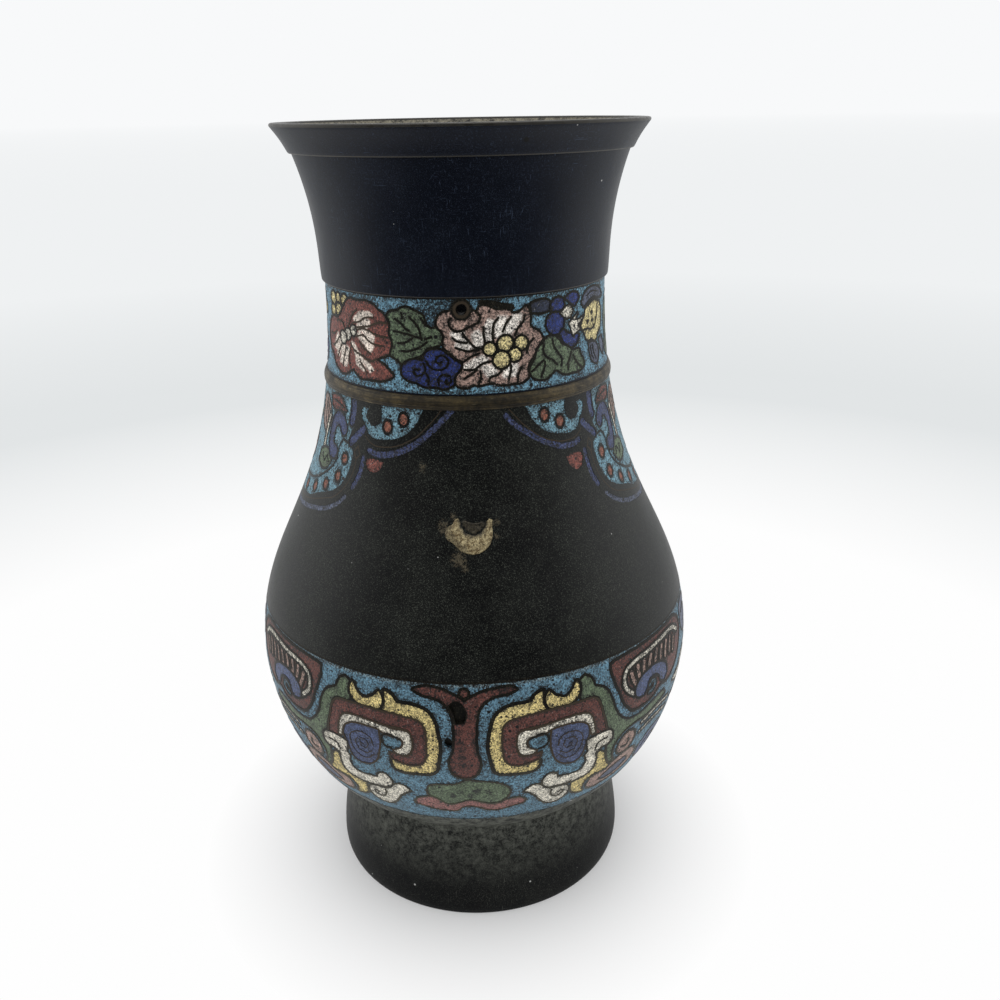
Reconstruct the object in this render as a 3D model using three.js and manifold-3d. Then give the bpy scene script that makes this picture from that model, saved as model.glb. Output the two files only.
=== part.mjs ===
// Champleve enamel vase in cast bronze: a foot ring, a baluster body and a flared neck, brazed one on
// another, with enamel fired into cells cut in the bronze. Millimetres, +Z up, origin at the centre of
// the standing face. The front, with the pin hole of the lost handle, faces -Y.
import * as THREE from 'three';
import { mergeVertices } from 'three/addons/utils/BufferGeometryUtils.js';
import Module from 'manifold-3d';

const wasm = await Module();
wasm.setup();

// Heights of the stations, from the standing face up
const footHeight = 42;
const bellyHeight = 104.2;
const waistRingHeight = 6;
const waistHeight = 213.8;
const neckBandMargin = 0.6;
const neckBandHeight = 31.2;
const collarDrop = 2;
const lipHeight = 9.8;
const height = 305;

// Radii of the outside at the stations
const footRadius = 61.4;
const footSwell = 65.3;
const footTopRadius = 57.1;
const bodyFootRadius = 57.9;
const bellyRadius = 88.35;
const throatRadius = 52.1;
const collarRadius = 53.1;
const lipLowRadius = 60.1;
const lipLedge = 1.3;
const rimRadius = 66.8;
const rimWidth = 4.2;
const rimBevelWidth = 0.6;
const rimBevelHeight = 1.4;
const ringProud = 1;
const ringSwell = 0.6;
const ringBevelWidth = 0.6;
const ringBevelHeight = 0.8;

// Castings and joints
const wall = 4.4;
const footWall = 4.2;
const plateThickness = 3;
const plateHeight = 27;
const plateSeat = 5;
const spigotWall = 2.2;
const spigotLength = 5;
const socketWall = 1.2;
const gap = 0.3;
const boreRise = 10;
const cutterProud = 1;

// Enamel bands
const bellyBandBottom = 59;
const bellyBandTop = 126;
const cellDepth = 1.5;
const cellWall = 1.1;
const lappetDrop = 45.8;

// Pin holes and scars of the two lost handles, one at the front and one at the back
const pinRadius = 1.85;
const pinFacets = 12;
const pinDrop = 3.9;
const scarWidth = 15;
const scarDrop = 9;
const scarHeight = 176;
const scarThickness = 1.6;
const scarProud = 0.4;
const scarTop = 0.75;
const scarArcs = 8;

// How far the pattern of each band is turned from the plane of the handles
const degree = Math.PI / 180;
const neckTurn = 1.9 * degree;
const shoulderTurn = 3.8 * degree;
const bellyTurn = -1.5 * degree;

// Patterns are drawn as arc length and height on rulers of these radii
const neckRuler = 53;
const shoulderRuler = 70;
const bellyRuler = 86;

// Heights that the patterns fill on their drawings; each is drawn out to the height of its band
const neckDrawing = 31.2;
const shoulderDrawing = 45.8;
const bellyDrawing = 67;

// Heights that follow from the others
const ringTop = waistHeight + waistRingHeight;
const neckBandBottom = ringTop + neckBandMargin;
const collarHeight = neckBandBottom + neckBandHeight;
const throatHeight = collarHeight - collarDrop;
const lappetBottom = waistHeight - lappetDrop;

// Facets round the axis and along the outline
const segments = 28;
const rowStep = 20;

const point = (r, z) => new THREE.Vector2(r, z);

// The outline: a bulging foot, a body that swells and draws in to the throat, and a flaring mouth. The
// reaches and pulls set how far each curve runs on in the direction of its ends.
const footLine = new THREE.QuadraticBezierCurve(
  point(footRadius, 0), point(footSwell, 0), point(footTopRadius, footHeight),
).getPoints(40);
const swellAngle = 33 * degree;
const swellReach = 33;
const bellyReach = 7;
const shoulderPull = 0.35;
const throatPull = 0.594;
const collarReach = point(0.9, 8);
const lipReach = point(7.4, 21.3);
const bellyLine = new THREE.CubicBezierCurve(
  point(bodyFootRadius, footHeight),
  point(bodyFootRadius + swellReach * Math.cos(swellAngle), footHeight + swellReach * Math.sin(swellAngle)),
  point(bellyRadius, bellyHeight - bellyReach),
  point(bellyRadius, bellyHeight),
).getPoints(60);
const shoulderLine = new THREE.CubicBezierCurve(
  point(bellyRadius, bellyHeight),
  point(bellyRadius, bellyHeight + shoulderPull * (throatHeight - bellyHeight)),
  point(throatRadius, throatHeight - throatPull * (throatHeight - bellyHeight)),
  point(throatRadius, throatHeight),
).getPoints(120);
const bodyLine = [...bellyLine, ...shoulderLine.slice(1), point(throatRadius, collarHeight)];
const lipBottom = height - lipHeight;
const mouthLine = new THREE.CubicBezierCurve(
  point(collarRadius, collarHeight),
  point(collarRadius + collarReach.x, collarHeight + collarReach.y),
  point(lipLowRadius - lipReach.x, lipBottom - lipReach.y),
  point(lipLowRadius, lipBottom),
).getPoints(60);

// Radius of an outline at a height
function radiusOn(line, z) {
  const above = line.findIndex((p) => p.y >= z);
  if (above <= 0) return above === 0 ? line[0].x : line[line.length - 1].x;
  const low = line[above - 1];
  const high = line[above];
  return low.x + ((z - low.y) / (high.y - low.y)) * (high.x - low.x);
}
const bodyRadius = (z) => radiusOn(bodyLine, z);

// Heights from one to another in equal steps of about the given size
function levels(from, to, step) {
  const count = Math.max(1, Math.round(Math.abs(to - from) / step));
  return Array.from({ length: count + 1 }, (_, i) => from + ((to - from) * i) / count);
}

// A closed profile of [radius, height] pairs turned round the vertical axis
function turned(profile) {
  const loop = profile.map(([r, z]) => point(r, z));
  if (THREE.ShapeUtils.area(loop) < 0) loop.reverse();
  return new THREE.LatheGeometry([...loop, loop[0]], segments).rotateX(Math.PI / 2);
}

// Conversions between a drawn geometry and a solid that can be cut and joined
function solid(geometry) {
  const bare = geometry.clone();
  bare.deleteAttribute('normal');
  bare.deleteAttribute('uv');
  const merged = mergeVertices(bare, 1e-4);
  return new wasm.Manifold(new wasm.Mesh({
    numProp: 3,
    vertProperties: new Float32Array(merged.attributes.position.array),
    triVerts: new Uint32Array(merged.index.array),
  }));
}
function drawn(body) {
  const mesh = body.getMesh();
  const geometry = new THREE.BufferGeometry();
  geometry.setAttribute('position', new THREE.BufferAttribute(new Float32Array(mesh.vertProperties), 3));
  geometry.setIndex(new THREE.BufferAttribute(new Uint32Array(mesh.triVerts), 1));
  return geometry;
}
function joined(bodies) {
  return bodies.reduce((whole, body) => whole.add(body));
}

// An outline moved outwards by a distance, or inwards by a negative one
function offset(outline, distance) {
  const count = outline.length;
  const turn = THREE.ShapeUtils.area(outline.map(([x, z]) => point(x, z))) > 0 ? 1 : -1;
  return outline.map(([x, z], i) => {
    const [px, pz] = outline[(i + count - 1) % count];
    const [nx, nz] = outline[(i + 1) % count];
    const before = point(z - pz, px - x).normalize().multiplyScalar(turn);
    const after = point(nz - z, x - nx).normalize().multiplyScalar(turn);
    const reach = distance / Math.max(0.55, 1 + before.dot(after));
    return [x + (before.x + after.x) * reach, z + (before.y + after.y) * reach];
  });
}

// A wedge that cuts an outline, drawn as arc and height on a ruler, straight towards the axis. It reaches
// from just under the cells to just over the outside, as shares of the radius at each point.
const wedgeReach = [0.93, 1.1];
function wedge(outline, ruler, turn) {
  const flat = outline.map(([x, z]) => point(x, z));
  if (THREE.ShapeUtils.area(flat) < 0) flat.reverse();
  const count = flat.length;
  const positions = [];
  wedgeReach.forEach((share) => flat.forEach((p) => {
    const radius = share * bodyRadius(p.y);
    const angle = p.x / ruler + turn;
    positions.push(radius * Math.sin(angle), -radius * Math.cos(angle), p.y);
  }));
  const index = [];
  THREE.ShapeUtils.triangulateShape(flat, []).forEach(([a, b, c]) => {
    index.push(a, c, b, count + a, count + b, count + c);
  });
  flat.forEach((_, i) => {
    const j = (i + 1) % count;
    index.push(i, j, count + j, i, count + j, count + i);
  });
  const geometry = new THREE.BufferGeometry();
  geometry.setAttribute('position', new THREE.BufferAttribute(new Float32Array(positions), 3));
  geometry.setIndex(index);
  return solid(geometry);
}

// Rows of facets on the outside of the body and neck; every band ends on one of them
const stations = [
  footHeight, bellyBandBottom, bellyBandTop, lappetBottom, waistHeight, neckBandBottom, collarHeight,
];
const bodyRows = stations.slice(1).flatMap((z, i) => levels(stations[i], z, rowStep).slice(i ? 1 : 0));
const rowsBetween = (from, to) => [from, ...bodyRows.filter((z) => z > from + gap && z < to - gap), to];

// A band that follows the facets of the outside between two heights and two depths below it
function band(from, to, deep, shallow) {
  const rows = rowsBetween(from, to);
  const outside = rows.map((z) => [bodyRadius(z) - shallow, z]);
  const inside = rows.map((z) => [bodyRadius(z) - deep, z]).reverse();
  return solid(turned([...outside, ...inside]));
}

// Materials
const bronze = (color, roughness) => new THREE.MeshStandardMaterial({ color, metalness: 0.7, roughness });
const enamel = (color) => new THREE.MeshStandardMaterial({ color, metalness: 0, roughness: 0.4 });
const solder = new THREE.MeshStandardMaterial({ color: 0x968c6e, metalness: 0.3, roughness: 0.6 });
const blackBronze = bronze(0x1c1d1f, 0.5);
const brownBronze = bronze(0x4b4030, 0.45);
const turquoise = enamel(0x5f9fb4);
const red = enamel(0x7b3a3c);
const pink = enamel(0xc9a6a4);
const green = enamel(0x5f7a60);
const blue = enamel(0x333f85);
const yellow = enamel(0xdcc884);

const vase = new THREE.Group();
function add(name, geometry, material) {
  const mesh = new THREE.Mesh(geometry, material);
  mesh.name = name;
  vase.add(mesh);
}

// Foot ring, with a ledge inside for the base plate
const footBore = (z) => radiusOn(footLine, z) - footWall;
function footRing() {
  const outside = levels(0, footHeight, rowStep).map((z) => [radiusOn(footLine, z), z]);
  const seat = footBore(plateHeight);
  return turned([
    ...outside, [footTopRadius - footWall, footHeight],
    [seat, plateHeight + plateThickness], [seat, plateHeight],
    [seat - plateSeat, plateHeight], [seat - plateSeat, plateHeight - plateThickness],
    [seat, plateHeight - plateThickness], [footRadius - footWall, 0],
  ]);
}

// Round plate soldered on the ledge; it closes the vase
function basePlate() {
  const edge = footBore(plateHeight) - gap;
  const top = plateHeight + plateThickness - gap;
  return turned([[0, plateHeight], [edge, plateHeight], [edge, top], [0, top]]);
}

// Body shell, ending in a spigot that enters the neck
const spigotTop = ringTop + spigotLength;
const spigotRadius = bodyRadius(spigotTop) - cellDepth - socketWall - gap;
function bodyShell() {
  const outside = rowsBetween(footHeight, waistHeight).map((z) => [bodyRadius(z), z]);
  const spigotBore = spigotRadius - spigotWall;
  const spigot = [[spigotRadius, waistHeight], [spigotRadius, spigotTop], [spigotBore, spigotTop]];
  const insideRows = levels(waistHeight - wall, footHeight + boreRise, rowStep);
  const inside = insideRows.map((z) => [bodyRadius(z) - wall, z]);
  const bottom = [footTopRadius - footWall, footHeight];
  return solid(turned([...outside, ...spigot, [spigotBore, waistHeight], ...inside, bottom]));
}

// Neck shell: it stands on the waist ring and takes the spigot, and ends in the everted lip
function neckShell() {
  const bored = spigotRadius + gap;
  const socketTop = spigotTop + gap;
  const outside = rowsBetween(ringTop, collarHeight).map((z) => [bodyRadius(z), z]);
  const mouth = levels(collarHeight, lipBottom, rowStep).map((z) => [radiusOn(mouthLine, z), z]);
  const lip = [
    [lipLowRadius + lipLedge, lipBottom], [rimRadius, height - rimBevelHeight],
    [rimRadius - rimBevelWidth, height], [rimRadius - rimWidth, height],
  ];
  const throat = levels(lipBottom, collarHeight, rowStep).map((z) => [radiusOn(mouthLine, z) - wall, z]);
  const inside = levels(collarHeight - wall, socketTop, rowStep).map((z) => [bodyRadius(z) - wall, z]);
  const socket = [[bored, socketTop], [bored, ringTop]];
  return solid(turned([...outside, ...mouth, ...lip, ...throat, ...inside, ...socket]));
}

// Plain moulding that covers the joint of body and neck
function waistRing() {
  const bore = spigotRadius + gap;
  const low = bodyRadius(waistHeight) + ringProud;
  const high = bodyRadius(ringTop) + ringProud;
  const middle = (low + high) / 2 + ringSwell;
  return turned([
    [bore, waistHeight], [low - ringBevelWidth, waistHeight], [low, waistHeight + ringBevelHeight],
    [middle, waistHeight + waistRingHeight / 2],
    [high, ringTop - ringBevelHeight], [high - ringBevelWidth, ringTop], [bore, ringTop],
  ]);
}

// Outlines of the neck motifs, as arc on the neck ruler and height above the bottom of their band
const neckMotifs = {
  red_peony: [red, [
    [-60, 10.6], [-54, 2.6], [-41.5, 2.5], [-27, 4.2], [-31, 9], [-27.2, 14.6], [-29.4, 24],
    [-36, 27.8], [-47, 27.8], [-52, 20.2],
  ]],
  blue_cloud: [blue, [[-22.6, 6.6], [-13, 13.4], [-9.6, 13.6], [-3.4, 9.2], [-6.4, 2.6], [-14, 2.4]]],
  pink_peony: [pink, [
    [-9.4, 23], [-7.4, 26], [5, 27.9], [20.8, 27], [22.2, 20], [26.4, 16],
    [19.4, 2.5], [-1, 2.3], [-1.2, 9.4], [-7.7, 15.2],
  ]],
  right_leaf: [green, [[22.8, 4], [26.4, 12.6], [31, 15.6], [44.5, 9.1], [45.6, 3]]],
  blue_flower: [blue, [[28.6, 20.1], [35, 14.6], [61, 4.6], [65, 12.6], [62.6, 23.6], [56, 28.4], [34, 28]]],
};

// Outlines of the mask on the belly, drawn the same way; those of a pair lie right of its axis
const nose = [
  [0, 60.4], [4, 63.2], [18.6, 63], [4.6, 58.4], [4.6, 37], [0, 28.8],
];
const maskPairs = {
  eye_frame: [yellow, [
    [28.4, 61], [14.6, 57.6], [9.4, 51], [11.6, 30], [25.4, 30], [24.6, 33], [15.6, 33.6], [14.4, 52.4],
    [29, 55],
  ]],
  pupil: [blue, [[31, 46], [32.6, 33.6], [37.4, 29.4], [45.6, 40], [42, 46.4]]],
  brow: [green, [
    [42.6, 63], [52.6, 56], [62.4, 39], [56.4, 31.6], [48, 53.6], [42.2, 55.2],
  ]],
};

// Turquoise fields of the cloud-collar lappets on the shoulder, drawn the same way
const lappetFields = {
  near_lobe: [[24, 44], [35, 35.8], [46.6, 34.6], [54.2, 44]],
  low_lobe: [
    [59.4, 26.6], [62, 15], [85, 6], [110, 3], [135, 6], [158, 15], [160.6, 26.6], [152.4, 29],
    [145, 16], [110, 9.4], [75, 16], [67.6, 29],
  ],
};

// Mirror image and whole outline of a half one
const mirrored = (outline, axis = 0) => outline.map(([x, z]) => [2 * axis - x, z]);
const whole = (half) => [...half, ...mirrored(half).slice(1, -1).reverse()];

// The three bands of the outside, with the ruler that their patterns are drawn on
const zones = {
  neck: { bottom: neckBandBottom, top: collarHeight, ruler: neckRuler, drawing: neckDrawing },
  shoulder: { bottom: lappetBottom, top: waistHeight, ruler: shoulderRuler, drawing: shoulderDrawing },
  belly: { bottom: bellyBandBottom, top: bellyBandTop, ruler: bellyRuler, drawing: bellyDrawing },
};
const quarterTurn = (Math.PI / 2) * shoulderRuler * (shoulderDrawing / lappetDrop);

// All cells: each has a name, a colour, an outline, its ruler and its turn
const cells = [];
function addCell(name, material, outline, turn, zone) {
  const { bottom, top, ruler, drawing } = zones[zone];
  const scale = (top - bottom) / drawing;
  const raised = outline.map(([x, z]) => [x * scale, bottom + z * scale]);
  cells.push({ name, material, outline: raised, ruler, turn, zone });
}
[['front', 0], ['back', Math.PI]].forEach(([side, half]) => {
  Object.entries(neckMotifs).forEach(([name, [material, outline]]) => {
    addCell(`neck_${side}_${name}`, material, outline, neckTurn + half, 'neck');
  });
  const maskTurn = bellyTurn + half;
  addCell(`mask_${side}_nose`, red, whole(nose), maskTurn, 'belly');
  Object.entries(maskPairs).forEach(([name, [material, outline]]) => {
    addCell(`mask_${side}_right_${name}`, material, outline, maskTurn, 'belly');
    addCell(`mask_${side}_left_${name}`, material, mirrored(outline), maskTurn, 'belly');
  });
});
[['right', 0], ['left', Math.PI]].forEach(([side, half]) => {
  const lappetTurn = shoulderTurn + half;
  const { low_lobe: lowLobe, near_lobe: nearLobe } = lappetFields;
  addCell(`lappet_${side}_low_lobe`, turquoise, lowLobe, lappetTurn, 'shoulder');
  addCell(`lappet_${side}_near_lobe`, turquoise, nearLobe, lappetTurn, 'shoulder');
  addCell(`lappet_${side}_far_lobe`, turquoise, mirrored(nearLobe, quarterTurn), lappetTurn, 'shoulder');
});

// Bands of full cell depth, and of the enamel that fills them
const pocketBands = {};
const fillingBands = {};
Object.entries(zones).forEach(([zone, { bottom, top }]) => {
  pocketBands[zone] = band(bottom, top, cellDepth, -cutterProud);
  fillingBands[zone] = band(bottom + gap, top - gap, cellDepth - gap, 0);
});

// Pin holes for the handles, drilled from front to back, each in a boss that the enamel leaves free
const pinHeight = collarHeight - pinDrop;
const pinCutter = (radius) => solid(
  new THREE.CylinderGeometry(radius, radius, 4 * collarRadius, pinFacets).translate(0, 0, pinHeight),
);
const pinHoles = pinCutter(pinRadius);
const pinBosses = pinCutter(pinRadius + cellWall);
const pinClearance = pinCutter(pinRadius + cellWall + gap);

// Scar of a lost handle: a half-moon of solder, its flat side up, in a shallow seat on the shoulder
function scarOutline(margin) {
  const half = scarWidth / 2 + margin;
  const arc = levels(Math.PI, 2 * Math.PI, Math.PI / scarArcs).map((angle) => [
    half * Math.cos(angle), scarHeight + (scarDrop + margin) * Math.sin(angle),
  ]);
  return [...arc, [half * scarTop, scarHeight + margin], [-half * scarTop, scarHeight + margin]];
}
const scarLow = scarHeight - 2 * scarDrop;
const scarHigh = scarHeight + scarDrop;
const scarBand = band(scarLow, scarHigh, scarThickness - gap, -scarProud);
const scarSeatBand = band(scarLow, scarHigh, scarThickness, -cutterProud);
const scars = [['front', 0], ['back', Math.PI]].map(([side, turn]) => ({
  name: `handle_scar_${side}`,
  body: scarBand.intersect(wedge(scarOutline(0), shoulderRuler, turn)),
  seat: scarSeatBand.intersect(wedge(scarOutline(gap), shoulderRuler, turn)),
}));

// Ground of a band: what its motifs and their walls leave free
function wallsOf(zone, margin) {
  return joined(cells.filter((cell) => cell.zone === zone).map((cell) => (
    wedge(offset(cell.outline, margin), cell.ruler, cell.turn)
  )));
}
const pockets = cells.map((cell) => (
  pocketBands[cell.zone].intersect(wedge(cell.outline, cell.ruler, cell.turn))
));
const zonePockets = (zone) => joined(pockets.filter((_, i) => cells[i].zone === zone));
const neckGroundPocket = pocketBands.neck.subtract(wallsOf('neck', cellWall)).subtract(pinBosses);
const bellyGroundPocket = pocketBands.belly.subtract(wallsOf('belly', cellWall));
const neckGround = fillingBands.neck.subtract(wallsOf('neck', cellWall + gap)).subtract(pinClearance);
const bellyGround = fillingBands.belly.subtract(wallsOf('belly', cellWall + gap));

// Castings
add('foot_ring', footRing(), blackBronze);
add('base_plate', basePlate(), brownBronze);
const scarSeats = joined(scars.map((scar) => scar.seat));
const bodyCuts = joined([zonePockets('belly'), bellyGroundPocket, zonePockets('shoulder'), scarSeats]);
add('body_casting', drawn(bodyShell().subtract(bodyCuts)), blackBronze);
add('waist_ring', waistRing(), brownBronze);
const neckCuts = joined([zonePockets('neck').subtract(pinBosses), neckGroundPocket, pinHoles]);
add('neck_casting', drawn(neckShell().subtract(neckCuts)), blackBronze);

// Enamel fillings
add('neck_ground', drawn(neckGround), turquoise);
add('belly_ground', drawn(bellyGround), turquoise);
cells.forEach((cell) => {
  const filling = fillingBands[cell.zone].intersect(wedge(offset(cell.outline, -gap), cell.ruler, cell.turn));
  add(cell.name, drawn(cell.zone === 'neck' ? filling.subtract(pinClearance) : filling), cell.material);
});
scars.forEach((scar) => add(scar.name, drawn(scar.body), solder));

export default vase;
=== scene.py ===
"""Looks of a champleve enamel vase in patinated bronze, laid out as a Blender add-on.

The castings carry real cells for the enamel: every band is triangulated flat, as arc length and height on a
ruler, and then wrapped round the vase. Outlines are in millimetres and meshes in metres.
"""

import math

import bpy
import numpy as np
from bpy.props import FloatProperty, FloatVectorProperty, IntProperty, PointerProperty
from mathutils import Matrix, Vector, noise
from mathutils.geometry import delaunay_2d_cdt


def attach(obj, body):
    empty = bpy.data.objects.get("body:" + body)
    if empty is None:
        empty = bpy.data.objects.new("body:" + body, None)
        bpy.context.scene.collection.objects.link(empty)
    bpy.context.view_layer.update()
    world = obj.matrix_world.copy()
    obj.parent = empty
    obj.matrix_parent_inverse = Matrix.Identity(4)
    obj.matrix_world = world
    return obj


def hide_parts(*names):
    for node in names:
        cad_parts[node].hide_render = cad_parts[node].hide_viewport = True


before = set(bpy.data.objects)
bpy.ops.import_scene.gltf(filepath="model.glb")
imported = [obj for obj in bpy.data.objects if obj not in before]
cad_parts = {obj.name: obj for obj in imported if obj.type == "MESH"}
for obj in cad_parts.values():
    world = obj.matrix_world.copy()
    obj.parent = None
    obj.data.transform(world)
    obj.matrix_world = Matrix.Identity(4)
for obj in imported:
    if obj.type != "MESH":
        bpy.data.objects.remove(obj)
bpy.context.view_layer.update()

bl_info = {
    "name": "Enamel Vase",
    "version": (1, 0, 0),
    "blender": (4, 5, 0),
    "location": "View3D > Sidebar > Vase",
    "description": "Models a bronze vase with champleve enamel bands and sets it on a photographic stage",
    "category": "Object",
}

MM = 0.001

# Profile of the vase, millimetres
FOOT_HEIGHT = 42.0
BELLY_HEIGHT = 104.2
WAIST_HEIGHT = 214.1
RING_TOP = 219.0
THROAT_HEIGHT = 249.6
COLLAR_HEIGHT = 251.6
LIP_BOTTOM = 295.2
HEIGHT = 305.0
FOOT_RADIUS = 61.4
FOOT_SWELL = 65.3
FOOT_TOP_RADIUS = 57.1
BODY_FOOT_RADIUS = 57.9
BELLY_RADIUS = 88.35
THROAT_RADIUS = 52.1
COLLAR_RADIUS = 53.1
LIP_LOW_RADIUS = 60.1
LIP_LEDGE = 1.3
RIM_RADIUS = 66.8
RIM_WIDTH = 4.2
WALL = 4.4
FOOT_WALL = 4.2
PLATE_HEIGHT = 27.0
PLATE_THICKNESS = 3.0
PLATE_LEDGE = 5.0
PLATE_GAP = 0.3

# Joint of body and neck: the body's spigot stands in the neck's socket, inside the cells of the flower band
SPIGOT_TOP = RING_TOP + 5
SPIGOT_WALL = 2.2
CELL_DEPTH = 1.5
SOCKET_WALL = 1.2
JOINT_GAP = 0.3

# Pin hole of the lost handle
PIN_HEIGHT = 247.7
PIN_RADIUS = 1.85

# Bands of the pattern: rulers, turns and limits
NECK_RULER, NECK_TURN = 53.0, math.radians(1.9)
SHOULDER_RULER, SHOULDER_TURN = 70.0, math.radians(3.8)
BELLY_RULER, BELLY_TURN = 86.0, math.radians(-1.5)
NECK_BAND = (219.5, 251.4)
SHOULDER_BAND = (160.0, 214.1)
BELLY_BAND = (60.4, 127.0)

# How far a cut line strays from its drawing
HAND_SHIFT = 0.16

# Facets round the axis; every band starts on one of them
SEGMENTS = 288
FACET = 2 * math.pi / SEGMENTS
NECK_FACET, SHOULDER_FACET, BELLY_FACET = -57, 3, -73

# Colour numbers of a layer; bronze, rubbed bronze, a hole and a cell without enamel come first
BRONZE, WORN, HOLE, EMPTY, TURQUOISE, RED, PINK, GREEN, BLUE, YELLOW, WHITE, LILAC, SLATE, RUST = range(14)


def bezier(corners, count):
    """Points of a Bezier curve of any degree"""
    t = np.linspace(0, 1, count)[:, None]
    degree = len(corners) - 1
    return sum(math.comb(degree, i) * t ** i * (1 - t) ** (degree - i) * np.array(c, float)
               for i, c in enumerate(corners))


FOOT_LINE = bezier([(FOOT_RADIUS, 0), (FOOT_SWELL, 0), (FOOT_TOP_RADIUS, FOOT_HEIGHT)], 60)
BELLY_LINE = bezier([(BODY_FOOT_RADIUS, FOOT_HEIGHT),
                     (BODY_FOOT_RADIUS + 33 * math.cos(math.radians(33)),
                      FOOT_HEIGHT + 33 * math.sin(math.radians(33))),
                     (BELLY_RADIUS, BELLY_HEIGHT - 7), (BELLY_RADIUS, BELLY_HEIGHT)], 120)
RISE = THROAT_HEIGHT - BELLY_HEIGHT
SHOULDER_LINE = bezier([(BELLY_RADIUS, BELLY_HEIGHT), (BELLY_RADIUS, BELLY_HEIGHT + 0.35 * RISE),
                        (THROAT_RADIUS, THROAT_HEIGHT - 0.594 * RISE), (THROAT_RADIUS, THROAT_HEIGHT)], 240)
MOUTH_LINE = bezier([(COLLAR_RADIUS, COLLAR_HEIGHT), (COLLAR_RADIUS + 0.9, COLLAR_HEIGHT + 8),
                     (LIP_LOW_RADIUS - 7.4, LIP_BOTTOM - 21.3), (LIP_LOW_RADIUS, LIP_BOTTOM)], 120)
BODY_LINE = np.vstack([BELLY_LINE, SHOULDER_LINE[1:], [(THROAT_RADIUS, COLLAR_HEIGHT)]])


def on_line(line, z):
    """Radius of an outline at heights z"""
    return np.interp(z, line[:, 1], line[:, 0])


def body_radius(z):
    """Outside radius of body and neck band at heights z"""
    return on_line(BODY_LINE, z)


SOCKET_RADIUS = float(body_radius(SPIGOT_TOP)) - CELL_DEPTH - SOCKET_WALL
SOCKET_TOP = SPIGOT_TOP + JOINT_GAP
PIN_HOLE = (-NECK_TURN * NECK_RULER, PIN_HEIGHT)


def slope(z):
    """Rise of the outside radius with height, for the shading normals"""
    z = np.asarray(z, float)
    mouth = on_line(MOUTH_LINE, z + 0.5) - on_line(MOUTH_LINE, z - 0.5)
    body = body_radius(z + 0.5) - body_radius(z - 0.5)
    return np.where(z > COLLAR_HEIGHT + 0.4, mouth, body)


def linear(red, green, blue):
    """Scene colour of a colour given in 0 to 255"""
    return tuple(((c / 255 + 0.055) / 1.055) ** 2.4 if c > 10 else c / 255 / 12.92
                 for c in (red, green, blue))


# Curves drawn flat

def smooth(points, closed, step=0.7, corner=math.radians(56)):
    """Curve through the points, with a corner where the line turns sharply"""
    pts = np.array(points, float)
    count = len(pts)
    spans = count if closed else count - 1
    chord = np.array([pts[(i + 1) % count] - pts[i] for i in range(spans)])
    length = np.hypot(*chord.T)
    way = chord / length[:, None]
    out = []
    for i in range(spans):
        j = (i + 1) % count
        before = way[i - 1] if (closed or i > 0) else way[i]
        after = way[(i + 1) % spans] if (closed or i + 1 < spans) else way[i]
        start = way[i] if np.dot(before, way[i]) < math.cos(corner) else before + way[i]
        end = way[i] if np.dot(way[i], after) < math.cos(corner) else way[i] + after
        start = start / np.hypot(*start) * length[i]
        end = end / np.hypot(*end) * length[i]
        steps = max(1, int(round(length[i] / step)))
        t = (np.arange(steps) / steps)[:, None]
        out.append((2 * t**3 - 3 * t**2 + 1) * pts[i] + (t**3 - 2 * t**2 + t) * start
                   + (-2 * t**3 + 3 * t**2) * pts[j] + (t**3 - t**2) * end)
    if not closed:
        out.append(pts[-1:])
    return np.vstack(out)


def circle(centre, radius, count=None):
    """Round outline, with points about 0.6 mm apart when their count isn't given"""
    count = count or max(12, int(2 * math.pi * radius / 0.6))
    angle = np.arange(count) * 2 * math.pi / count
    return np.array(centre) + radius * np.column_stack([np.cos(angle), np.sin(angle)])


def distance(points, curve, closed):
    """Distance of each point to a curve, less than nothing inside a closed one"""
    start = curve
    end = np.roll(curve, -1, axis=0)
    if not closed:
        start, end = curve[:-1], curve[1:]
    gap = end - start
    square = np.maximum((gap ** 2).sum(1), 1e-12)
    rel = points[:, None, :] - start[None, :, :]
    t = np.clip((rel * gap[None]).sum(2) / square, 0, 1)
    near = np.sqrt(((rel - t[..., None] * gap[None]) ** 2).sum(2).min(1))
    if not closed:
        return near
    z = points[:, 1][:, None]
    crosses = (start[:, 1][None] > z) != (end[:, 1][None] > z)
    with np.errstate(divide="ignore", invalid="ignore"):
        at = start[:, 0] + (z - start[:, 1]) * gap[:, 0] / gap[:, 1]
    inside = (crosses & (points[:, 0][:, None] < at)).sum(1) % 2 == 1
    return np.where(inside, -near, near)


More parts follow.
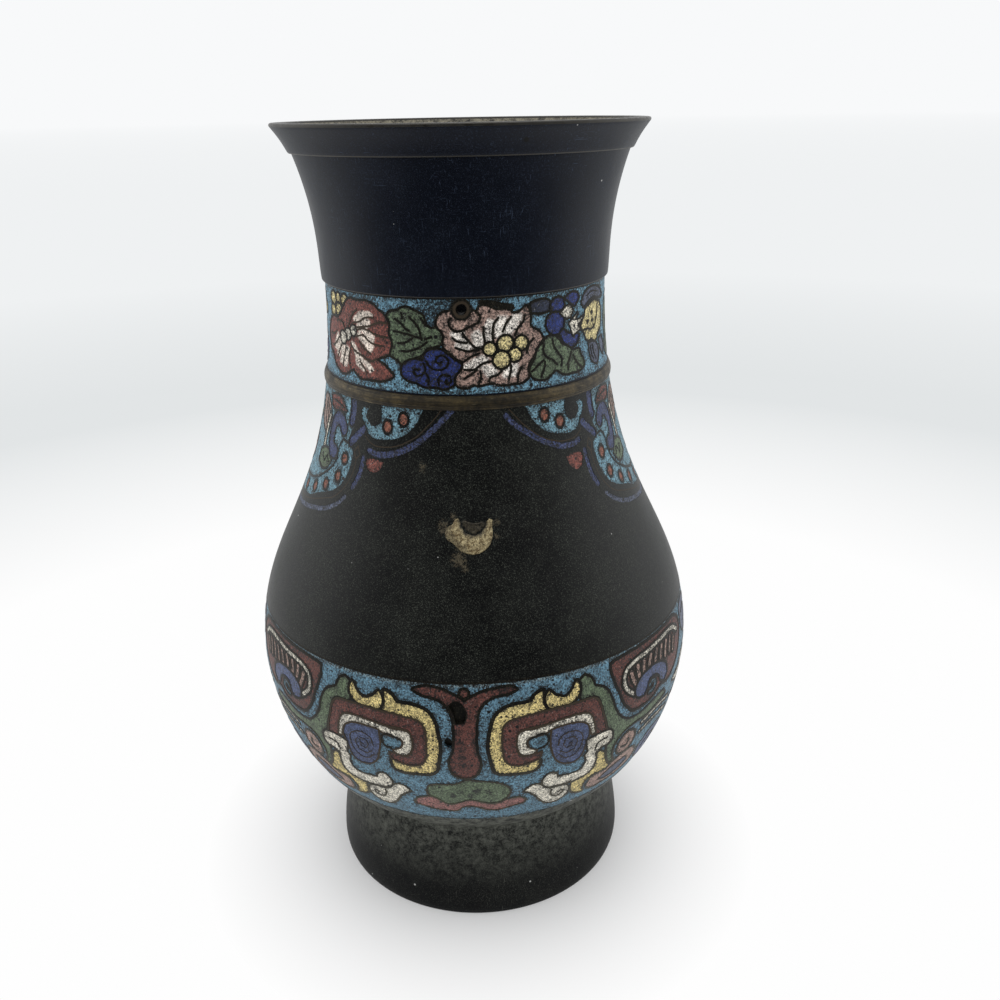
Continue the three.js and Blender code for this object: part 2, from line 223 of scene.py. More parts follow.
def grown(curve, closed, reach):
    """Closed line at a distance round a curve, without the loops that tight bends would give"""
    if closed:
        ahead = np.roll(curve, -1, axis=0) - curve
        area = 0.5 * np.sum(curve[:, 0] * np.roll(curve[:, 1], -1) - curve[:, 1] * np.roll(curve[:, 0], -1))
        turn = 1 if area > 0 else -1
        sides = np.column_stack([ahead[:, 1], -ahead[:, 0]]) * turn
        sides /= np.maximum(np.hypot(*sides.T), 1e-9)[:, None]
        back = np.roll(sides, 1, axis=0)
        fans = []
        for point, a, b in zip(curve, back, sides):
            bend = math.atan2(a[0] * b[1] - a[1] * b[0], a @ b) * turn
            steps = max(1, int(bend / 0.5)) if bend > 0.5 else 0
            if steps:
                base = math.atan2(a[1], a[0])
                for k in range(steps + 1):
                    angle = base + turn * bend * k / steps
                    fans.append(point + reach * np.array([math.cos(angle), math.sin(angle)]))
            else:
                middle = (a + b) / max(0.4, np.hypot(*(a + b)))
                fans.append(point + reach * middle)
        line = np.array(fans)
    else:
        ahead = np.diff(curve, axis=0)
        ahead /= np.maximum(np.hypot(*ahead.T), 1e-9)[:, None]
        along = np.vstack([ahead[:1], ahead[:-1] + ahead[1:], ahead[-1:]])
        along /= np.maximum(np.hypot(*along.T), 1e-9)[:, None]
        side = np.column_stack([along[:, 1], -along[:, 0]])
        caps = []
        for tip, out in ((curve[-1], along[-1]), (curve[0], -along[0])):
            base = math.atan2(out[1], out[0])
            angles = [base + a for a in np.radians([-54, -18, 18, 54])]
            caps.append(tip + reach * np.array([(math.cos(a), math.sin(a)) for a in angles]))
        line = np.vstack([curve + reach * side, caps[0], (curve - reach * side)[::-1], caps[1]])
    keep = np.abs(distance(line, curve, closed)) > 0.93 * reach
    return line[keep]


def unsteady(curve):
    """Curve with the small unsteadiness of a line cut by hand, the same in every run"""
    shift = [[noise.noise(Vector((x * 0.4, z * 0.4, level))) for level in (3.5, 17.5)] for x, z in curve]
    return curve + HAND_SHIFT * np.array(shift)


class Layer:
    """One thing painted on a band: a colour out to reach, inside a rim of bronze as wide as wall"""

    def __init__(self, colour, curve, closed=True, reach=0.0, wall=0.0, fade=0.0, grime=False, rim=BRONZE):
        self.colour, self.curve, self.closed = colour, np.asarray(curve, float), closed
        self.reach, self.wall, self.fade, self.grime, self.rim = reach, wall, fade, grime, rim
        self.outer = reach + wall + fade
        self.low = self.curve.min(0) - self.outer
        self.high = self.curve.max(0) + self.outer

    def spread(self, points):
        """Distance of the points beyond the colour, and which of them it was worked out for"""
        near = np.flatnonzero(np.all((points > self.low) & (points < self.high), axis=1))
        if not len(near):
            return near, np.zeros(0)
        return near, distance(points[near], self.curve, self.closed) - self.reach

    def lines(self):
        """Closed lines where the colour and its bronze rim end"""
        ends = [self.reach, self.reach + self.wall, self.reach + self.fade]
        return [self.curve if e < 1e-6 and self.closed else grown(self.curve, self.closed, e)
                for e in sorted(set(ends)) if self.closed or e > 1e-6]


class Pattern:
    """The layers of one half of a band, painted one over another on its ground"""

    def __init__(self, ruler, turn, band, first_facet, ground=TURQUOISE, mirror=None, strips=(), lean=None,
                 clean=()):
        self.ruler, self.turn, self.band, self.ground = ruler, turn, band, ground
        self.strips, self.lean, self.clean = strips, lean, clean
        self.left = (first_facet * FACET - turn) * ruler
        self.width = math.pi * ruler
        self.mirror = mirror
        self.layers = []

    def add(self, colour, curve, both, **kind):
        curve = np.array(curve, float)
        sides = [curve, curve * (-1, 1) + (2 * self.mirror, 0)] if both else [curve]
        for side in sides:
            placed = unsteady(side)
            self.layers.append(Layer(colour, self.lean(placed) if self.lean else placed, **kind))

    def cell(self, colour, outline, wall=0.85, both=False, rim=BRONZE):
        """An enamel field with a bronze wall round it"""
        self.add(colour, smooth(outline, True), both, wall=wall, rim=rim)

    def cells(self, colour, outlines, wall=0.85):
        for outline in outlines:
            self.cell(colour, outline, wall)

    def dots(self, colour, rounds, wall=0.8, both=False):
        """Round enamel fields in bronze rings, each as a place and a radius"""
        for x, z, radius in rounds:
            self.add(colour, circle((x, z), radius), both, wall=wall)

    def ribbon(self, colour, points, width, wall=0.8, both=False):
        """An enamel line between two bronze walls"""
        self.add(colour, smooth(points, False), both, closed=False, reach=width / 2, wall=wall)

    def wire(self, points, width=0.7, both=False, metal=BRONZE):
        """A bronze line left standing in a field"""
        self.add(metal, smooth(points, False), both, closed=False, reach=width / 2)

    def wires(self, lines, width=0.7, both=False, metal=BRONZE):
        for points in lines:
            self.wire(points, width, both, metal)

    def pale(self, outlines, fade):
        """Parts of petals that fade to the pale colour of their enamel"""
        for outline in outlines:
            self.add(None, smooth(outline, True), False, fade=fade)

    def dirt(self, marks):
        """Patches that are pitted and black with old grime, each as a place, a radius and a fade"""
        for x, z, radius, fade in marks:
            self.add(None, circle((x, z), radius, 16), False, fade=fade, grime=True)


class Net:
    """Points and edges that the triangles of a band have to keep"""

    def __init__(self):
        self.points, self.edges = [], []

    def chain(self, line):
        """An open line of edges"""
        base = len(self.points)
        self.points.extend(line)
        self.edges.extend((base + i, base + i + 1) for i in range(len(line) - 1))

    def loop(self, line, kept):
        """The kept edges of a closed line"""
        base = len(self.points)
        self.points.extend(map(tuple, line))
        self.edges.extend((base + i, base + (i + 1) % len(line)) for i in np.flatnonzero(kept))

    def drop_unused(self):
        used = sorted({i for edge in self.edges for i in edge})
        place = {old: new for new, old in enumerate(used)}
        self.points = [self.points[i] for i in used]
        self.edges = [(place[a], place[b]) for a, b in self.edges]


class Sheet:
    """A pattern cut into triangles: points on the ruler, triangles, colours and shading of the points"""

    def __init__(self, pattern, fill=2.3):
        """Fill is the side of the triangles in open ground, in millimetres"""
        self.clean = pattern.clean
        low, high = pattern.band
        levels = sorted({z for strip in pattern.strips for z in strip if low < z < high})
        net = Net()
        self.add_frame(net, pattern, levels)
        self.add_layers(net, pattern)
        net.drop_unused()
        self.add_filling(net, pattern, levels, fill)
        flat = delaunay_2d_cdt([Vector(p) for p in net.points], net.edges, [], 0, 2e-3, False)
        self.points = np.array([tuple(v) for v in flat[0]])
        self.faces = np.array(flat[2])
        self.paint(pattern)
        corner = self.points[self.faces]
        area = np.cross(corner[:, 1] - corner[:, 0], corner[:, 2] - corner[:, 0])
        self.faces[area < 0] = self.faces[area < 0][:, ::-1]
        self.angle = self.points[:, 0] / pattern.ruler + pattern.turn
        self.height = self.points[:, 1]

    @staticmethod
    def add_frame(net, pattern, levels):
        """The band's rims and seams, and the limits of its strips"""
        left, right = pattern.left, pattern.left + pattern.width
        low, high = pattern.band
        columns = np.linspace(left, right, SEGMENTS // 2 + 1)
        rows = np.linspace(low, high, max(2, int((high - low) / 2.2)) + 1)
        rows = [z for z in rows if all(abs(z - level) > 0.9 for level in levels)]
        for z in [low, high] + levels:
            net.chain([(x, z) for x in columns])
        seam = sorted(rows[1:-1] + levels)
        for x in (left, right):
            net.chain([(x, z) for z in seam])

    @staticmethod
    def add_layers(net, pattern):
        """The lines of the layers where no later layer covers them, clear of the band's rims and seams"""
        room = 0.25
        low = np.array([pattern.left, pattern.band[0]]) + room
        high = np.array([pattern.left + pattern.width, pattern.band[1]]) - room
        for number, layer in enumerate(pattern.layers):
            later = [over for over in pattern.layers[number + 1:] if over.colour is not None]
            for line in layer.lines():
                loop = np.vstack([line, line[:1]])
                middle = (loop[:-1] + loop[1:]) / 2
                shown = np.ones(len(middle), bool)
                for over in later:
                    near, spread = over.spread(middle)
                    shown[near[spread < over.wall - room]] = False
                fits = np.all((loop > low) & (loop < high), axis=1)
                net.loop(line, shown & fits[:-1] & fits[1:])

    @staticmethod
    def add_filling(net, pattern, levels, fill):
        """Points in rows that keep the triangles of open ground small"""
        left, right = pattern.left, pattern.left + pattern.width
        low, high = pattern.band
        across = np.arange(left + fill * 0.8, right - fill, fill)
        for k, z in enumerate(np.arange(low + fill * 0.8, high - 0.6 * fill, fill * 0.87)):
            if all(abs(z - level) > 0.6 for level in levels):
                net.points.extend((x + (k % 2) * fill / 2, z) for x in across)

    def paint(self, pattern):
        """Colours of the triangles, and the pale and grimy shares of the points, layer over layer"""
        centre = self.points[self.faces].mean(1)
        self.colour = np.full(len(self.faces), pattern.ground)
        for bottom, top in pattern.strips:
            self.colour[(centre[:, 1] > bottom) & (centre[:, 1] < top)] = BRONZE
        self.pale = np.zeros(len(self.points))
        self.grime = np.zeros(len(self.points))
        for layer in pattern.layers:
            if layer.colour is None:
                near, spread = layer.spread(self.points)
                share = np.clip(1 - spread / layer.fade, 0, 1)
                target = self.grime if layer.grime else self.pale
                target[near] = np.maximum(target[near], share)
                continue
            near, spread = layer.spread(centre)
            self.colour[near[spread < layer.wall]] = layer.rim
            self.colour[near[spread < 0]] = layer.colour

    def wrapped(self, depth):
        """Places on the vase at a depth below the outside, for both halves of the band"""
        halves = []
        for half in (0.0, math.pi):
            r = (body_radius(self.height) - depth) * MM
            halves.append(np.column_stack([r * np.sin(self.angle + half), -r * np.cos(self.angle + half),
                                           self.height * MM]))
        return halves

    def borders(self, of):
        """Directed edges of the chosen triangles where the next triangle isn't chosen, and that one's number

        The number is less than nothing at the band's rims. The seams between the two halves are left out.
        """
        faces = self.faces
        edge = np.vstack([faces[:, [0, 1]], faces[:, [1, 2]], faces[:, [2, 0]]])
        owner = np.tile(np.arange(len(faces)), 3)
        key = np.minimum(edge[:, 0], edge[:, 1]) * len(self.points) + np.maximum(edge[:, 0], edge[:, 1])
        order = np.argsort(key, kind="stable")
        same = np.flatnonzero(key[order][1:] == key[order][:-1])
        other = np.full(len(key), -1)
        other[order[same]] = owner[order[same + 1]]
        other[order[same + 1]] = owner[order[same]]
        level = self.height[edge[:, 0]] == self.height[edge[:, 1]]
        rim = of[owner] & (((other < 0) & level) | ((other >= 0) & ~of[other]))
        return edge[rim], other[rim]


# Mesh building

class Maker:
    """Gathers faces of one piece, each with a material number, and turns them into an object"""

    def __init__(self):
        self.places, self.faces, self.slots, self.tints = [], [], [], []
        self.count = 0

    def add(self, places, faces, slot=0, pale=None, grime=None, edge=None):
        faces = np.asarray(faces)
        if not len(faces):
            return
        self.faces.append((faces + self.count, slot))
        self.places.append(np.asarray(places, float))
        zero = np.zeros(len(places))
        self.tints.append(np.column_stack([zero if tint is None else tint for tint in (pale, grime, edge)]))
        self.count += len(places)

    def lathe(self, profile, slot=0):
        """Surface turned from (radius, height) points, facing right of the way up"""
        profile = np.array(profile, float)
        angle = np.arange(SEGMENTS) * FACET
        r, z = profile[:, 0][:, None] * MM, profile[:, 1][:, None] * MM
        shape = (len(profile), SEGMENTS)
        places = np.stack([r * np.sin(angle), -r * np.cos(angle), np.broadcast_to(z, shape)], -1)
        grid = np.arange(len(profile) * SEGMENTS).reshape(shape)
        right = np.roll(grid, -1, axis=1)
        quads = np.stack([grid[:-1], right[:-1], right[1:], grid[1:]], -1).reshape(-1, 4)
        self.add(places.reshape(-1, 3), quads, slot)

    def build(self, name, materials, weld=2e-6, sharp=math.radians(32)):
        places = np.vstack(self.places)
        tints = np.vstack(self.tints)
        used = np.zeros(len(places), bool)
        for faces, _ in self.faces:
            used[faces.ravel()] = True
        places[~used] = places[used][0]
        grid = np.round(places / weld).astype(np.int64)
        _, first, link = np.unique(grid, axis=0, return_index=True, return_inverse=True)
        link = link.ravel()
        corners, totals, slots = [], [], []
        for faces, slot in self.faces:
            linked = link[faces]
            size = faces.shape[1]
            whole = np.ones(len(linked), bool)
            for i in range(size):
                whole &= linked[:, i] != linked[:, (i + 1) % size]
            if size == 4:
                for gone in (0, 2):
                    folded = linked[linked[:, gone] == linked[:, gone + 1]]
                    corners.append(np.delete(folded, gone, axis=1).ravel())
                    totals.append(np.full(len(folded), 3))
                    slots.append(np.full(len(folded), slot))
            corners.append(linked[whole].ravel())
            totals.append(np.full(whole.sum(), size))
            slots.append(np.full(whole.sum(), slot))
        corners, totals, slots = np.concatenate(corners), np.concatenate(totals), np.concatenate(slots)
        mesh = bpy.data.meshes.new(name)
        mesh.vertices.add(len(first))
        mesh.vertices.foreach_set("co", places[first].ravel())
        mesh.loops.add(len(corners))
        mesh.loops.foreach_set("vertex_index", corners.astype(np.int32))
        mesh.polygons.add(len(totals))
        starts = np.concatenate([[0], np.cumsum(totals)[:-1]])
        mesh.polygons.foreach_set("loop_start", starts.astype(np.int32))
        mesh.polygons.foreach_set("loop_total", totals.astype(np.int32))
        mesh.polygons.foreach_set("material_index", slots.astype(np.int32))
        for column, tint in enumerate(("pale", "grime", "edge")):
            values = np.zeros(len(first))
            np.maximum.at(values, link, tints[:, column] * used)
            layer = mesh.attributes.new(tint, "FLOAT", "POINT")
            layer.data.foreach_set("value", values.astype(np.float32))
        mesh.update(calc_edges=True)
        mesh.validate()
        mesh.shade_smooth()
        mesh.set_sharp_from_angle(angle=sharp)
        for material in materials:
            mesh.materials.append(material)
        piece = bpy.data.objects.new(name, mesh)
        bpy.context.scene.collection.objects.link(piece)
        return piece


def true_normals(piece):
    """Shades the turned skins by the profile itself, so that no triangle shows in the gloss"""
    mesh = piece.data
    places = np.empty(len(mesh.vertices) * 3, np.float32)
    mesh.vertices.foreach_get("co", places)
    places = places.reshape(-1, 3) / MM
    corner = np.empty(len(mesh.loops), np.int32)
    mesh.loops.foreach_get("vertex_index", corner)
    shade = np.empty(len(mesh.loops) * 3, np.float32)
    mesh.corner_normals.foreach_get("vector", shade)
    shade = shade.reshape(-1, 3)
    face_normal = np.empty(len(mesh.polygons) * 3, np.float32)
    mesh.polygons.foreach_get("normal", face_normal)
    total = np.empty(len(mesh.polygons), np.int32)
    mesh.polygons.foreach_get("loop_total", total)
    face_normal = np.repeat(face_normal.reshape(-1, 3), total, axis=0)
    at = places[corner]
    angle = np.arctan2(at[:, 0], -at[:, 1])
    lean = slope(at[:, 2])
    size = np.sqrt(1 + lean ** 2)
    true = np.column_stack([np.sin(angle), -np.cos(angle), -lean]) / size[:, None]
    match = (true * face_normal).sum(1)
    out = np.where((match > 0.985)[:, None], true, np.where((match < -0.985)[:, None], -true, shade))
    mesh.normals_split_custom_set(out.tolist())


def settle(piece, slot, *nodes):
    """Rides the piece on the vase and hides the nodes that it stands for; slot is not used"""
    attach(piece, "root")
    if nodes:
        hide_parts(*nodes)


def steps(start, end, step):
    return np.linspace(start, end, max(2, int(round(abs(end - start) / step)) + 1))


def rows(line, start, end, step, inset=0.0):
    """Profile points that follow an outline between two heights, at an inset from it"""
    z = steps(start, end, step)
    return list(zip(on_line(line, z) - inset, z))


# Patterns

RED_PEONY = [(-46.9, 248.6), (-43.5, 248.4), (-36.4, 248.6), (-33.8, 247.6), (-32.1, 246.1), (-30, 245.1),
             (-28.1, 242), (-27.9, 239.5), (-27.1, 236.9), (-26.9, 234.6), (-27.6, 232.6), (-29.5, 231.4),
             (-32.3, 230.4), (-33.7, 229.5), (-32, 228.7), (-30, 227.5), (-28.1, 226.1), (-26.6, 224.7),
             (-28.1, 223.6), (-30.9, 222.7), (-33.5, 222.4), (-37.8, 222.3), (-41.5, 222.4), (-43.8, 223.6),
             (-45.2, 224.4), (-46.9, 224.1), (-49.1, 222.7), (-51.4, 222.1), (-54, 222.4), (-59, 224.8),
             (-60.5, 226.8), (-64, 229), (-65.8, 233), (-65, 237), (-61, 240.5), (-56, 241)]
RED_PALE = [
    [(-44.6, 242), (-42, 244), (-39.2, 244.9), (-36.4, 245), (-35.1, 244.3), (-38.1, 243.6), (-40.3, 242.6),
     (-42.9, 241)],
    [(-42.9, 239.5), (-40.3, 241.5), (-38.1, 242.6), (-36.4, 242.3), (-36.6, 240.6), (-39.2, 239.3),
     (-41.5, 238.6)],
    [(-42.9, 236.9), (-41.2, 237.8), (-39.2, 236), (-36.9, 234.9), (-34.9, 233.8), (-36.1, 231.9),
     (-38.1, 232.9), (-40, 234.6)],
    [(-39.8, 238.3), (-37.8, 238.9), (-34.7, 236.9), (-34.9, 235.2), (-37.5, 236.3)],
    [(-46.3, 233.8), (-44.9, 233.2), (-42.6, 230.7), (-40.3, 228.7), (-39.8, 226.1), (-38.6, 225),
     (-40.3, 225.3), (-43.5, 226.7), (-44, 229.5), (-45.2, 231.8)],
    [(-39.2, 228.1), (-37.5, 227.8), (-35.2, 225.8), (-36.4, 225), (-38.4, 226.4)],
    [(-60.2, 230.2), (-57.6, 229.6), (-54.8, 233.6), (-56.4, 235.4)],
    [(-57.3, 228), (-55.8, 227.6), (-52.8, 231.6), (-54.4, 233)],
    [(-54.6, 225.6), (-53, 225.4), (-50.6, 231.4), (-51.8, 232.4)],
    [(-51.4, 225), (-49.8, 225), (-48.2, 231), (-49.8, 231.8)],
]
RED_WIRES = [
    [(-45.4, 240.6), (-41.4, 241.6), (-38.4, 243.2), (-34.6, 243.6)],
    [(-44, 239.2), (-39.6, 240), (-36.4, 240.6), (-32.1, 242.3), (-28.8, 242.3)],
    [(-43.6, 238.2), (-39.5, 239.4), (-36.9, 238.9), (-33.5, 237.8), (-29, 237.5)],
    [(-43.4, 236.2), (-39.6, 237), (-37, 235.4), (-34.4, 234.6), (-31, 234.4)],
    [(-47, 233.2), (-44.5, 231), (-41, 230), (-36, 228.6), (-33.7, 229.5)],
    [(-41.8, 234.6), (-39.4, 232.6), (-36.4, 231.2)],
    [(-41.6, 227.6), (-39.2, 225.6), (-38.2, 224.2)],
    [(-47.2, 231.6), (-48.4, 227.8), (-47.6, 225)],
    [(-50, 231.8), (-51.6, 227.6), (-52.4, 224.4)],
    [(-52.8, 232.6), (-55.4, 229), (-57, 226.6)],
    [(-55.4, 234.2), (-58.2, 231.8), (-61.2, 230.2)],
    [(-57.4, 236), (-60.4, 234.6), (-63.4, 234.4)],
    [(-48.4, 239), (-45.4, 243.4), (-42.6, 245.6)],
    [(-50.8, 237.8), (-52.4, 239.8), (-56, 240.2)],
]
YELLOW_CLUSTER = [(-59.2, 247.4, 2.2), (-54.7, 247.9, 1.7), (-50, 247.4, 2.2), (-59.9, 242.9, 2.0),
                  (-54.9, 243.9, 2.2), (-50.1, 243.7, 1.8)]
LEFT_LEAF = [(-28.4, 244.9), (-27.2, 246.1), (-24.4, 246.6), (-22.4, 247.6), (-20.4, 248), (-19, 247.4),
             (-16.7, 246.4), (-15, 245.4), (-14.4, 243.7), (-13.9, 242.3), (-12.2, 241.3), (-10.2, 241.5),
             (-8.8, 240), (-8.6, 238), (-9.3, 236.3), (-11, 235.8), (-13.9, 234.9), (-15.6, 232.9),
             (-17.8, 231.8), (-20.1, 231.1), (-21.8, 230.1), (-23.2, 229.4), (-25.2, 230.8), (-27.5, 231.8),
             (-26.5, 234.6), (-26.6, 236.3), (-27.6, 240), (-27.1, 241.5), (-27.5, 243.2)]
LEFT_VEINS = [
    [(-25.2, 244), (-23, 242.6), (-21.3, 240.9), (-20.1, 240.2)],
    [(-19.8, 244.9), (-17.8, 243.2), (-16.4, 241.2), (-15.9, 238.9), (-15.6, 237.5)],
    [(-25.8, 239.9), (-22.4, 239.5), (-18.4, 238.6), (-15.6, 238)],
    [(-24.4, 236), (-21.5, 236.5), (-19, 237.8)],
    [(-23.2, 233.5), (-20.7, 233.4), (-17.8, 234.4), (-15.6, 235.5), (-13.9, 236.9)],
    [(-22.7, 246.1), (-22.4, 244.3)],
    [(-15.6, 244.6), (-13.9, 242.3)],
    [(-14.4, 237.8), (-12.2, 238.6)],
]
BLUE_CLOUD = [(-23, 228.1), (-21.8, 229.5), (-19.5, 230.5), (-17.3, 230.7), (-15.6, 230.4), (-14.9, 231.2),
              (-14.7, 232.6), (-13.3, 233.8), (-11, 234.5), (-8.8, 234.1), (-7, 232.9), (-4.4, 230.9),
              (-3, 230.1), (-1.9, 229.1), (-3.9, 226.7), (-4.4, 225), (-5.1, 223), (-7, 221.9), (-8.7, 221.6),
              (-10.4, 222.1), (-13.9, 222), (-16.1, 222.4), (-17.6, 223.3), (-19.5, 223.6), (-21.5, 224.4),
              (-22.7, 225.5)]
CLOUD_WIRES = [
    [(-15.2, 229.8), (-14.5, 227.8), (-15.6, 226), (-17.7, 225.5), (-19, 226.6), (-18.3, 227.9),
     (-17, 227.5)],
    [(-14.4, 230.6), (-12.7, 228.4), (-9.9, 227.6), (-7.1, 228.9), (-6.5, 231.1), (-8.3, 232.6),
     (-10.5, 232.1), (-11, 230.5), (-9.8, 229.7), (-8.8, 230.5)],
    [(-9.9, 222.6), (-10.3, 224.6), (-8.7, 226.1), (-6.3, 225.7), (-5.6, 223.9), (-6.8, 222.9), (-8, 223.6),
     (-7.5, 224.5)],
    [(-14.2, 226.4), (-13.2, 224.4), (-13.6, 222.8)],
]
RIGHT_LEAF = [(27.2, 234.6), (29.4, 236.3), (31.1, 236.3), (33.4, 235.2), (34.8, 233.2), (36.8, 232.1),
              (38.7, 231.2), (40.9, 229.8), (43.1, 229.9), (44.5, 229.5), (45, 227.5), (46.3, 226.1),
              (46.8, 224.1), (45.1, 223), (42.3, 222.4), (39.4, 222.7), (36.6, 222.6), (34.3, 223.6),
              (32, 224.7), (30, 223.8), (28.3, 222.7), (25.5, 222.4), (23.5, 223), (22, 224.4), (21.8, 226.1),
              (23.5, 229.2), (24.9, 232.4)]
RIGHT_VEINS = [
    [(27.4, 234.1), (27.2, 231.2), (28.9, 229.2), (31.1, 228.1), (32.8, 226.4)],
    [(31.1, 235.2), (31.7, 232.6), (33.7, 230.1), (35.1, 228.1), (34.8, 225.8)],
    [(27.2, 228.7), (24.6, 227.2), (22.3, 225.5)],
    [(27.7, 228.1), (27.2, 225.8), (25.7, 223.3)],
    [(39.9, 229.5), (38, 225.8), (37.9, 223.8)],
    [(40.9, 228.1), (42.3, 225.8), (45.1, 223)],
]
PINK_PEONY = [(-9.8, 242), (-10, 244), (-9.5, 245.4), (-8.1, 246.4), (-5.6, 247.1), (-2, 247.6), (0.7, 246.9),
              (2.4, 247), (3.4, 246.1), (4.1, 247.7), (4.9, 248.6), (6.9, 248.4), (10.3, 246.9),
              (12.9, 247.1), (15, 246.3), (15.5, 245.7), (17.8, 245.6), (19.8, 246.9), (20.8, 247.6),
              (21.8, 246), (22.2, 243.7), (22, 240.9), (23.2, 239.8), (25.2, 238.6), (27, 236.3),
              (25.7, 234.9), (24.3, 233.2), (22.6, 230.1), (20.9, 228.4), (20.6, 226.7), (20.8, 224.4),
              (20.1, 223.3), (17.5, 222.4), (14.7, 222.4), (11.3, 222.3), (8.1, 223.1), (6.4, 223),
              (4.1, 222.6), (1.5, 222.8), (-0.5, 222), (-2.7, 222.1), (-4, 223.3), (-3.7, 225.8),
              (-2.4, 227.2), (-1.6, 228.7), (-1.6, 230.6), (-2.7, 231.2), (-4.7, 232.6), (-6.4, 234.1),
              (-8, 235.3), (-7.8, 237.5), (-7.7, 238.9), (-8.4, 240.6)]
PINK_PALE = [
    [(-4.9, 239.9), (-1.4, 239.7), (-0.5, 237.5), (-3.9, 238.2)],
    [(-3.6, 236), (0, 236.5), (1.3, 235.2), (-2.7, 235.2)],
    [(-1.4, 228.8), (0.3, 229.6), (2.1, 230.8), (4.4, 231.6), (6.2, 231.2), (6.5, 230.4), (5.2, 229.4),
     (3.5, 228.6), (1.8, 228.1)],
    [(6.6, 237.2), (8.2, 237.4), (8.4, 241), (9, 243.4), (7.4, 243.6), (6.4, 240.4)],
    [(9.8, 238.6), (11.4, 239.4), (12.6, 242), (13.2, 244.4), (11, 244.6), (9.9, 242.4)],
    [(12.8, 239.4), (14.8, 239.2), (16.6, 241.4), (18.4, 243.4), (18.6, 244.8), (15.8, 244.4)],
    [(5, 228.4), (8.8, 228.6), (9.6, 226.8), (6.8, 225.6)],
    [(12.6, 228), (14, 228.2), (13.6, 225), (12.4, 225)],
    [(15.4, 228.4), (17, 228.6), (16.4, 225.4), (15.2, 225)],
    [(2.6, 236.4), (4.8, 236), (5, 238.6), (3.6, 240.2), (2, 239.2)],
]
PINK_WIRES = [
    [(-5.3, 245), (-6, 244.2), (-6, 242.9), (-5.1, 241.3), (-3.9, 240.6), (-1.9, 240.7), (0.1, 241.7),
     (2.4, 242.6), (4.1, 243.7), (4.7, 245.1), (3.8, 246.6)],
    [(-4.9, 238.5), (-3.9, 237.5), (-1.9, 236.9), (-0.2, 236.8)],
    [(-4, 235.1), (-1.9, 234.4), (0.1, 233.9), (2.1, 234.1), (3.8, 234.1)],
    [(-1.4, 240), (-0.5, 238.3), (1, 236.6), (2.4, 235.2), (4.7, 234.6)],
    [(5.5, 241.7), (5.5, 239.5), (5.8, 236.6)],
    [(10.6, 244.6), (9.2, 242.9), (8.6, 240.3), (8.8, 236.9)],
    [(15.2, 244.6), (13.3, 242.4), (12, 240)],
    [(20.1, 244.6), (19.5, 242.6), (17.5, 240.6), (16.4, 238.3)],
    [(-1, 230.7), (1.4, 232.2), (3.8, 233.2)],
    [(-1.3, 227.8), (2.1, 227.8), (4.7, 229.5), (8.6, 230.4)],
    [(-1.3, 224.7), (0.7, 226.1), (3, 227.5)],
    [(4.2, 227), (4.1, 225), (3.5, 223)],
    [(11.5, 227), (9.8, 225.5), (7.5, 225), (6.9, 223.6)],
    [(14.5, 228.6), (14.5, 226.7), (13.7, 223.6)],
    [(18.6, 227.5), (17.2, 225), (16.9, 222.7)],
    [(20.6, 232), (21.6, 235), (23.4, 236.6)],
]
STAMENS = [(7.5, 234.4, 1.9), (12.9, 235.9, 2.5), (18.6, 235.5, 2.2), (16.2, 231.9, 2.1), (11.5, 230.5, 2.7)]
SLATE_CELL = [(22.6, 248.3), (25, 248.9), (29.5, 248.4), (30.8, 247), (30.2, 245.4), (26, 245), (23, 245.4)]
BLUE_PETALS = [
    [(30.8, 247), (32, 248.6), (34.5, 249), (36.4, 247.6), (36.5, 245.4), (34, 244.3), (31.5, 244)],
    [(28.8, 241.6), (30, 243.4), (32.6, 244), (35.4, 243), (36.4, 240.4), (35.4, 238), (32.4, 236.9),
     (29.6, 238.4)],
    [(34.5, 236.5), (36, 237.8), (39, 236), (42, 235.5), (44.5, 234.5), (43, 232.3), (40, 231.4), (37, 233)],
    [(37.4, 248.4), (40, 249.6), (43.6, 249.4), (44.6, 247.6), (42.4, 245.4), (40.6, 246.2)],
]
WHITE_STARS = [
    [(35.2, 243.7), (37.2, 245.1), (39.4, 246), (41.1, 244), (40, 241.7), (38, 241.7), (36, 242.9)],
    [(39.1, 239.5), (40.9, 240.6), (44, 242.3), (41.9, 240), (44.6, 240), (47.4, 240.9), (45.1, 238.9),
     (43.7, 238), (45.1, 236.6), (41.1, 235.2), (40.3, 237.5)],
]
LILAC_PETALS = [
    [(46.4, 245.6), (48.4, 248.4), (53, 249.8), (58, 249.4), (62, 248), (64.4, 245.4), (60, 245.6),
     (55, 246.6), (50.6, 245.4), (48, 244)],
    [(50.6, 230.4), (51.4, 226.8), (53.2, 223.8), (56.4, 222.4), (58.6, 224.4), (58.2, 227.8), (55.4, 230.2)],
    [(60, 230.4), (61.4, 226.6), (64.2, 224.2), (65.6, 227.4), (63.4, 230.8)],
]
LILAC_WIRES = [[(53.6, 229.6), (54.4, 226.6), (56.2, 223.8)], [(52, 229.4), (52.6, 226.8), (54, 224.4)],
               [(50, 247.4), (54, 248.4), (59.4, 247.4)]]
HEART = [(48, 234.6), (49.1, 232.6), (50.8, 231.8), (53.1, 232.1), (55.3, 230.9), (57.3, 231.2), (59, 232.9),
         (61.3, 234.1), (63, 238), (62, 242.6), (59, 244), (55.1, 244.9), (51.9, 243.8), (49.3, 242.9),
         (48.4, 240.9), (46.7, 238.6), (46.2, 237.2)]
HEART_WIRES = [[(59, 243), (58.2, 239.6), (55.8, 236), (53.2, 235.3), (49.8, 235.8), (47.4, 235.8)]]
HEART_DOTS = [(50.7, 238.4), (54, 238.3), (53.6, 241.2)]
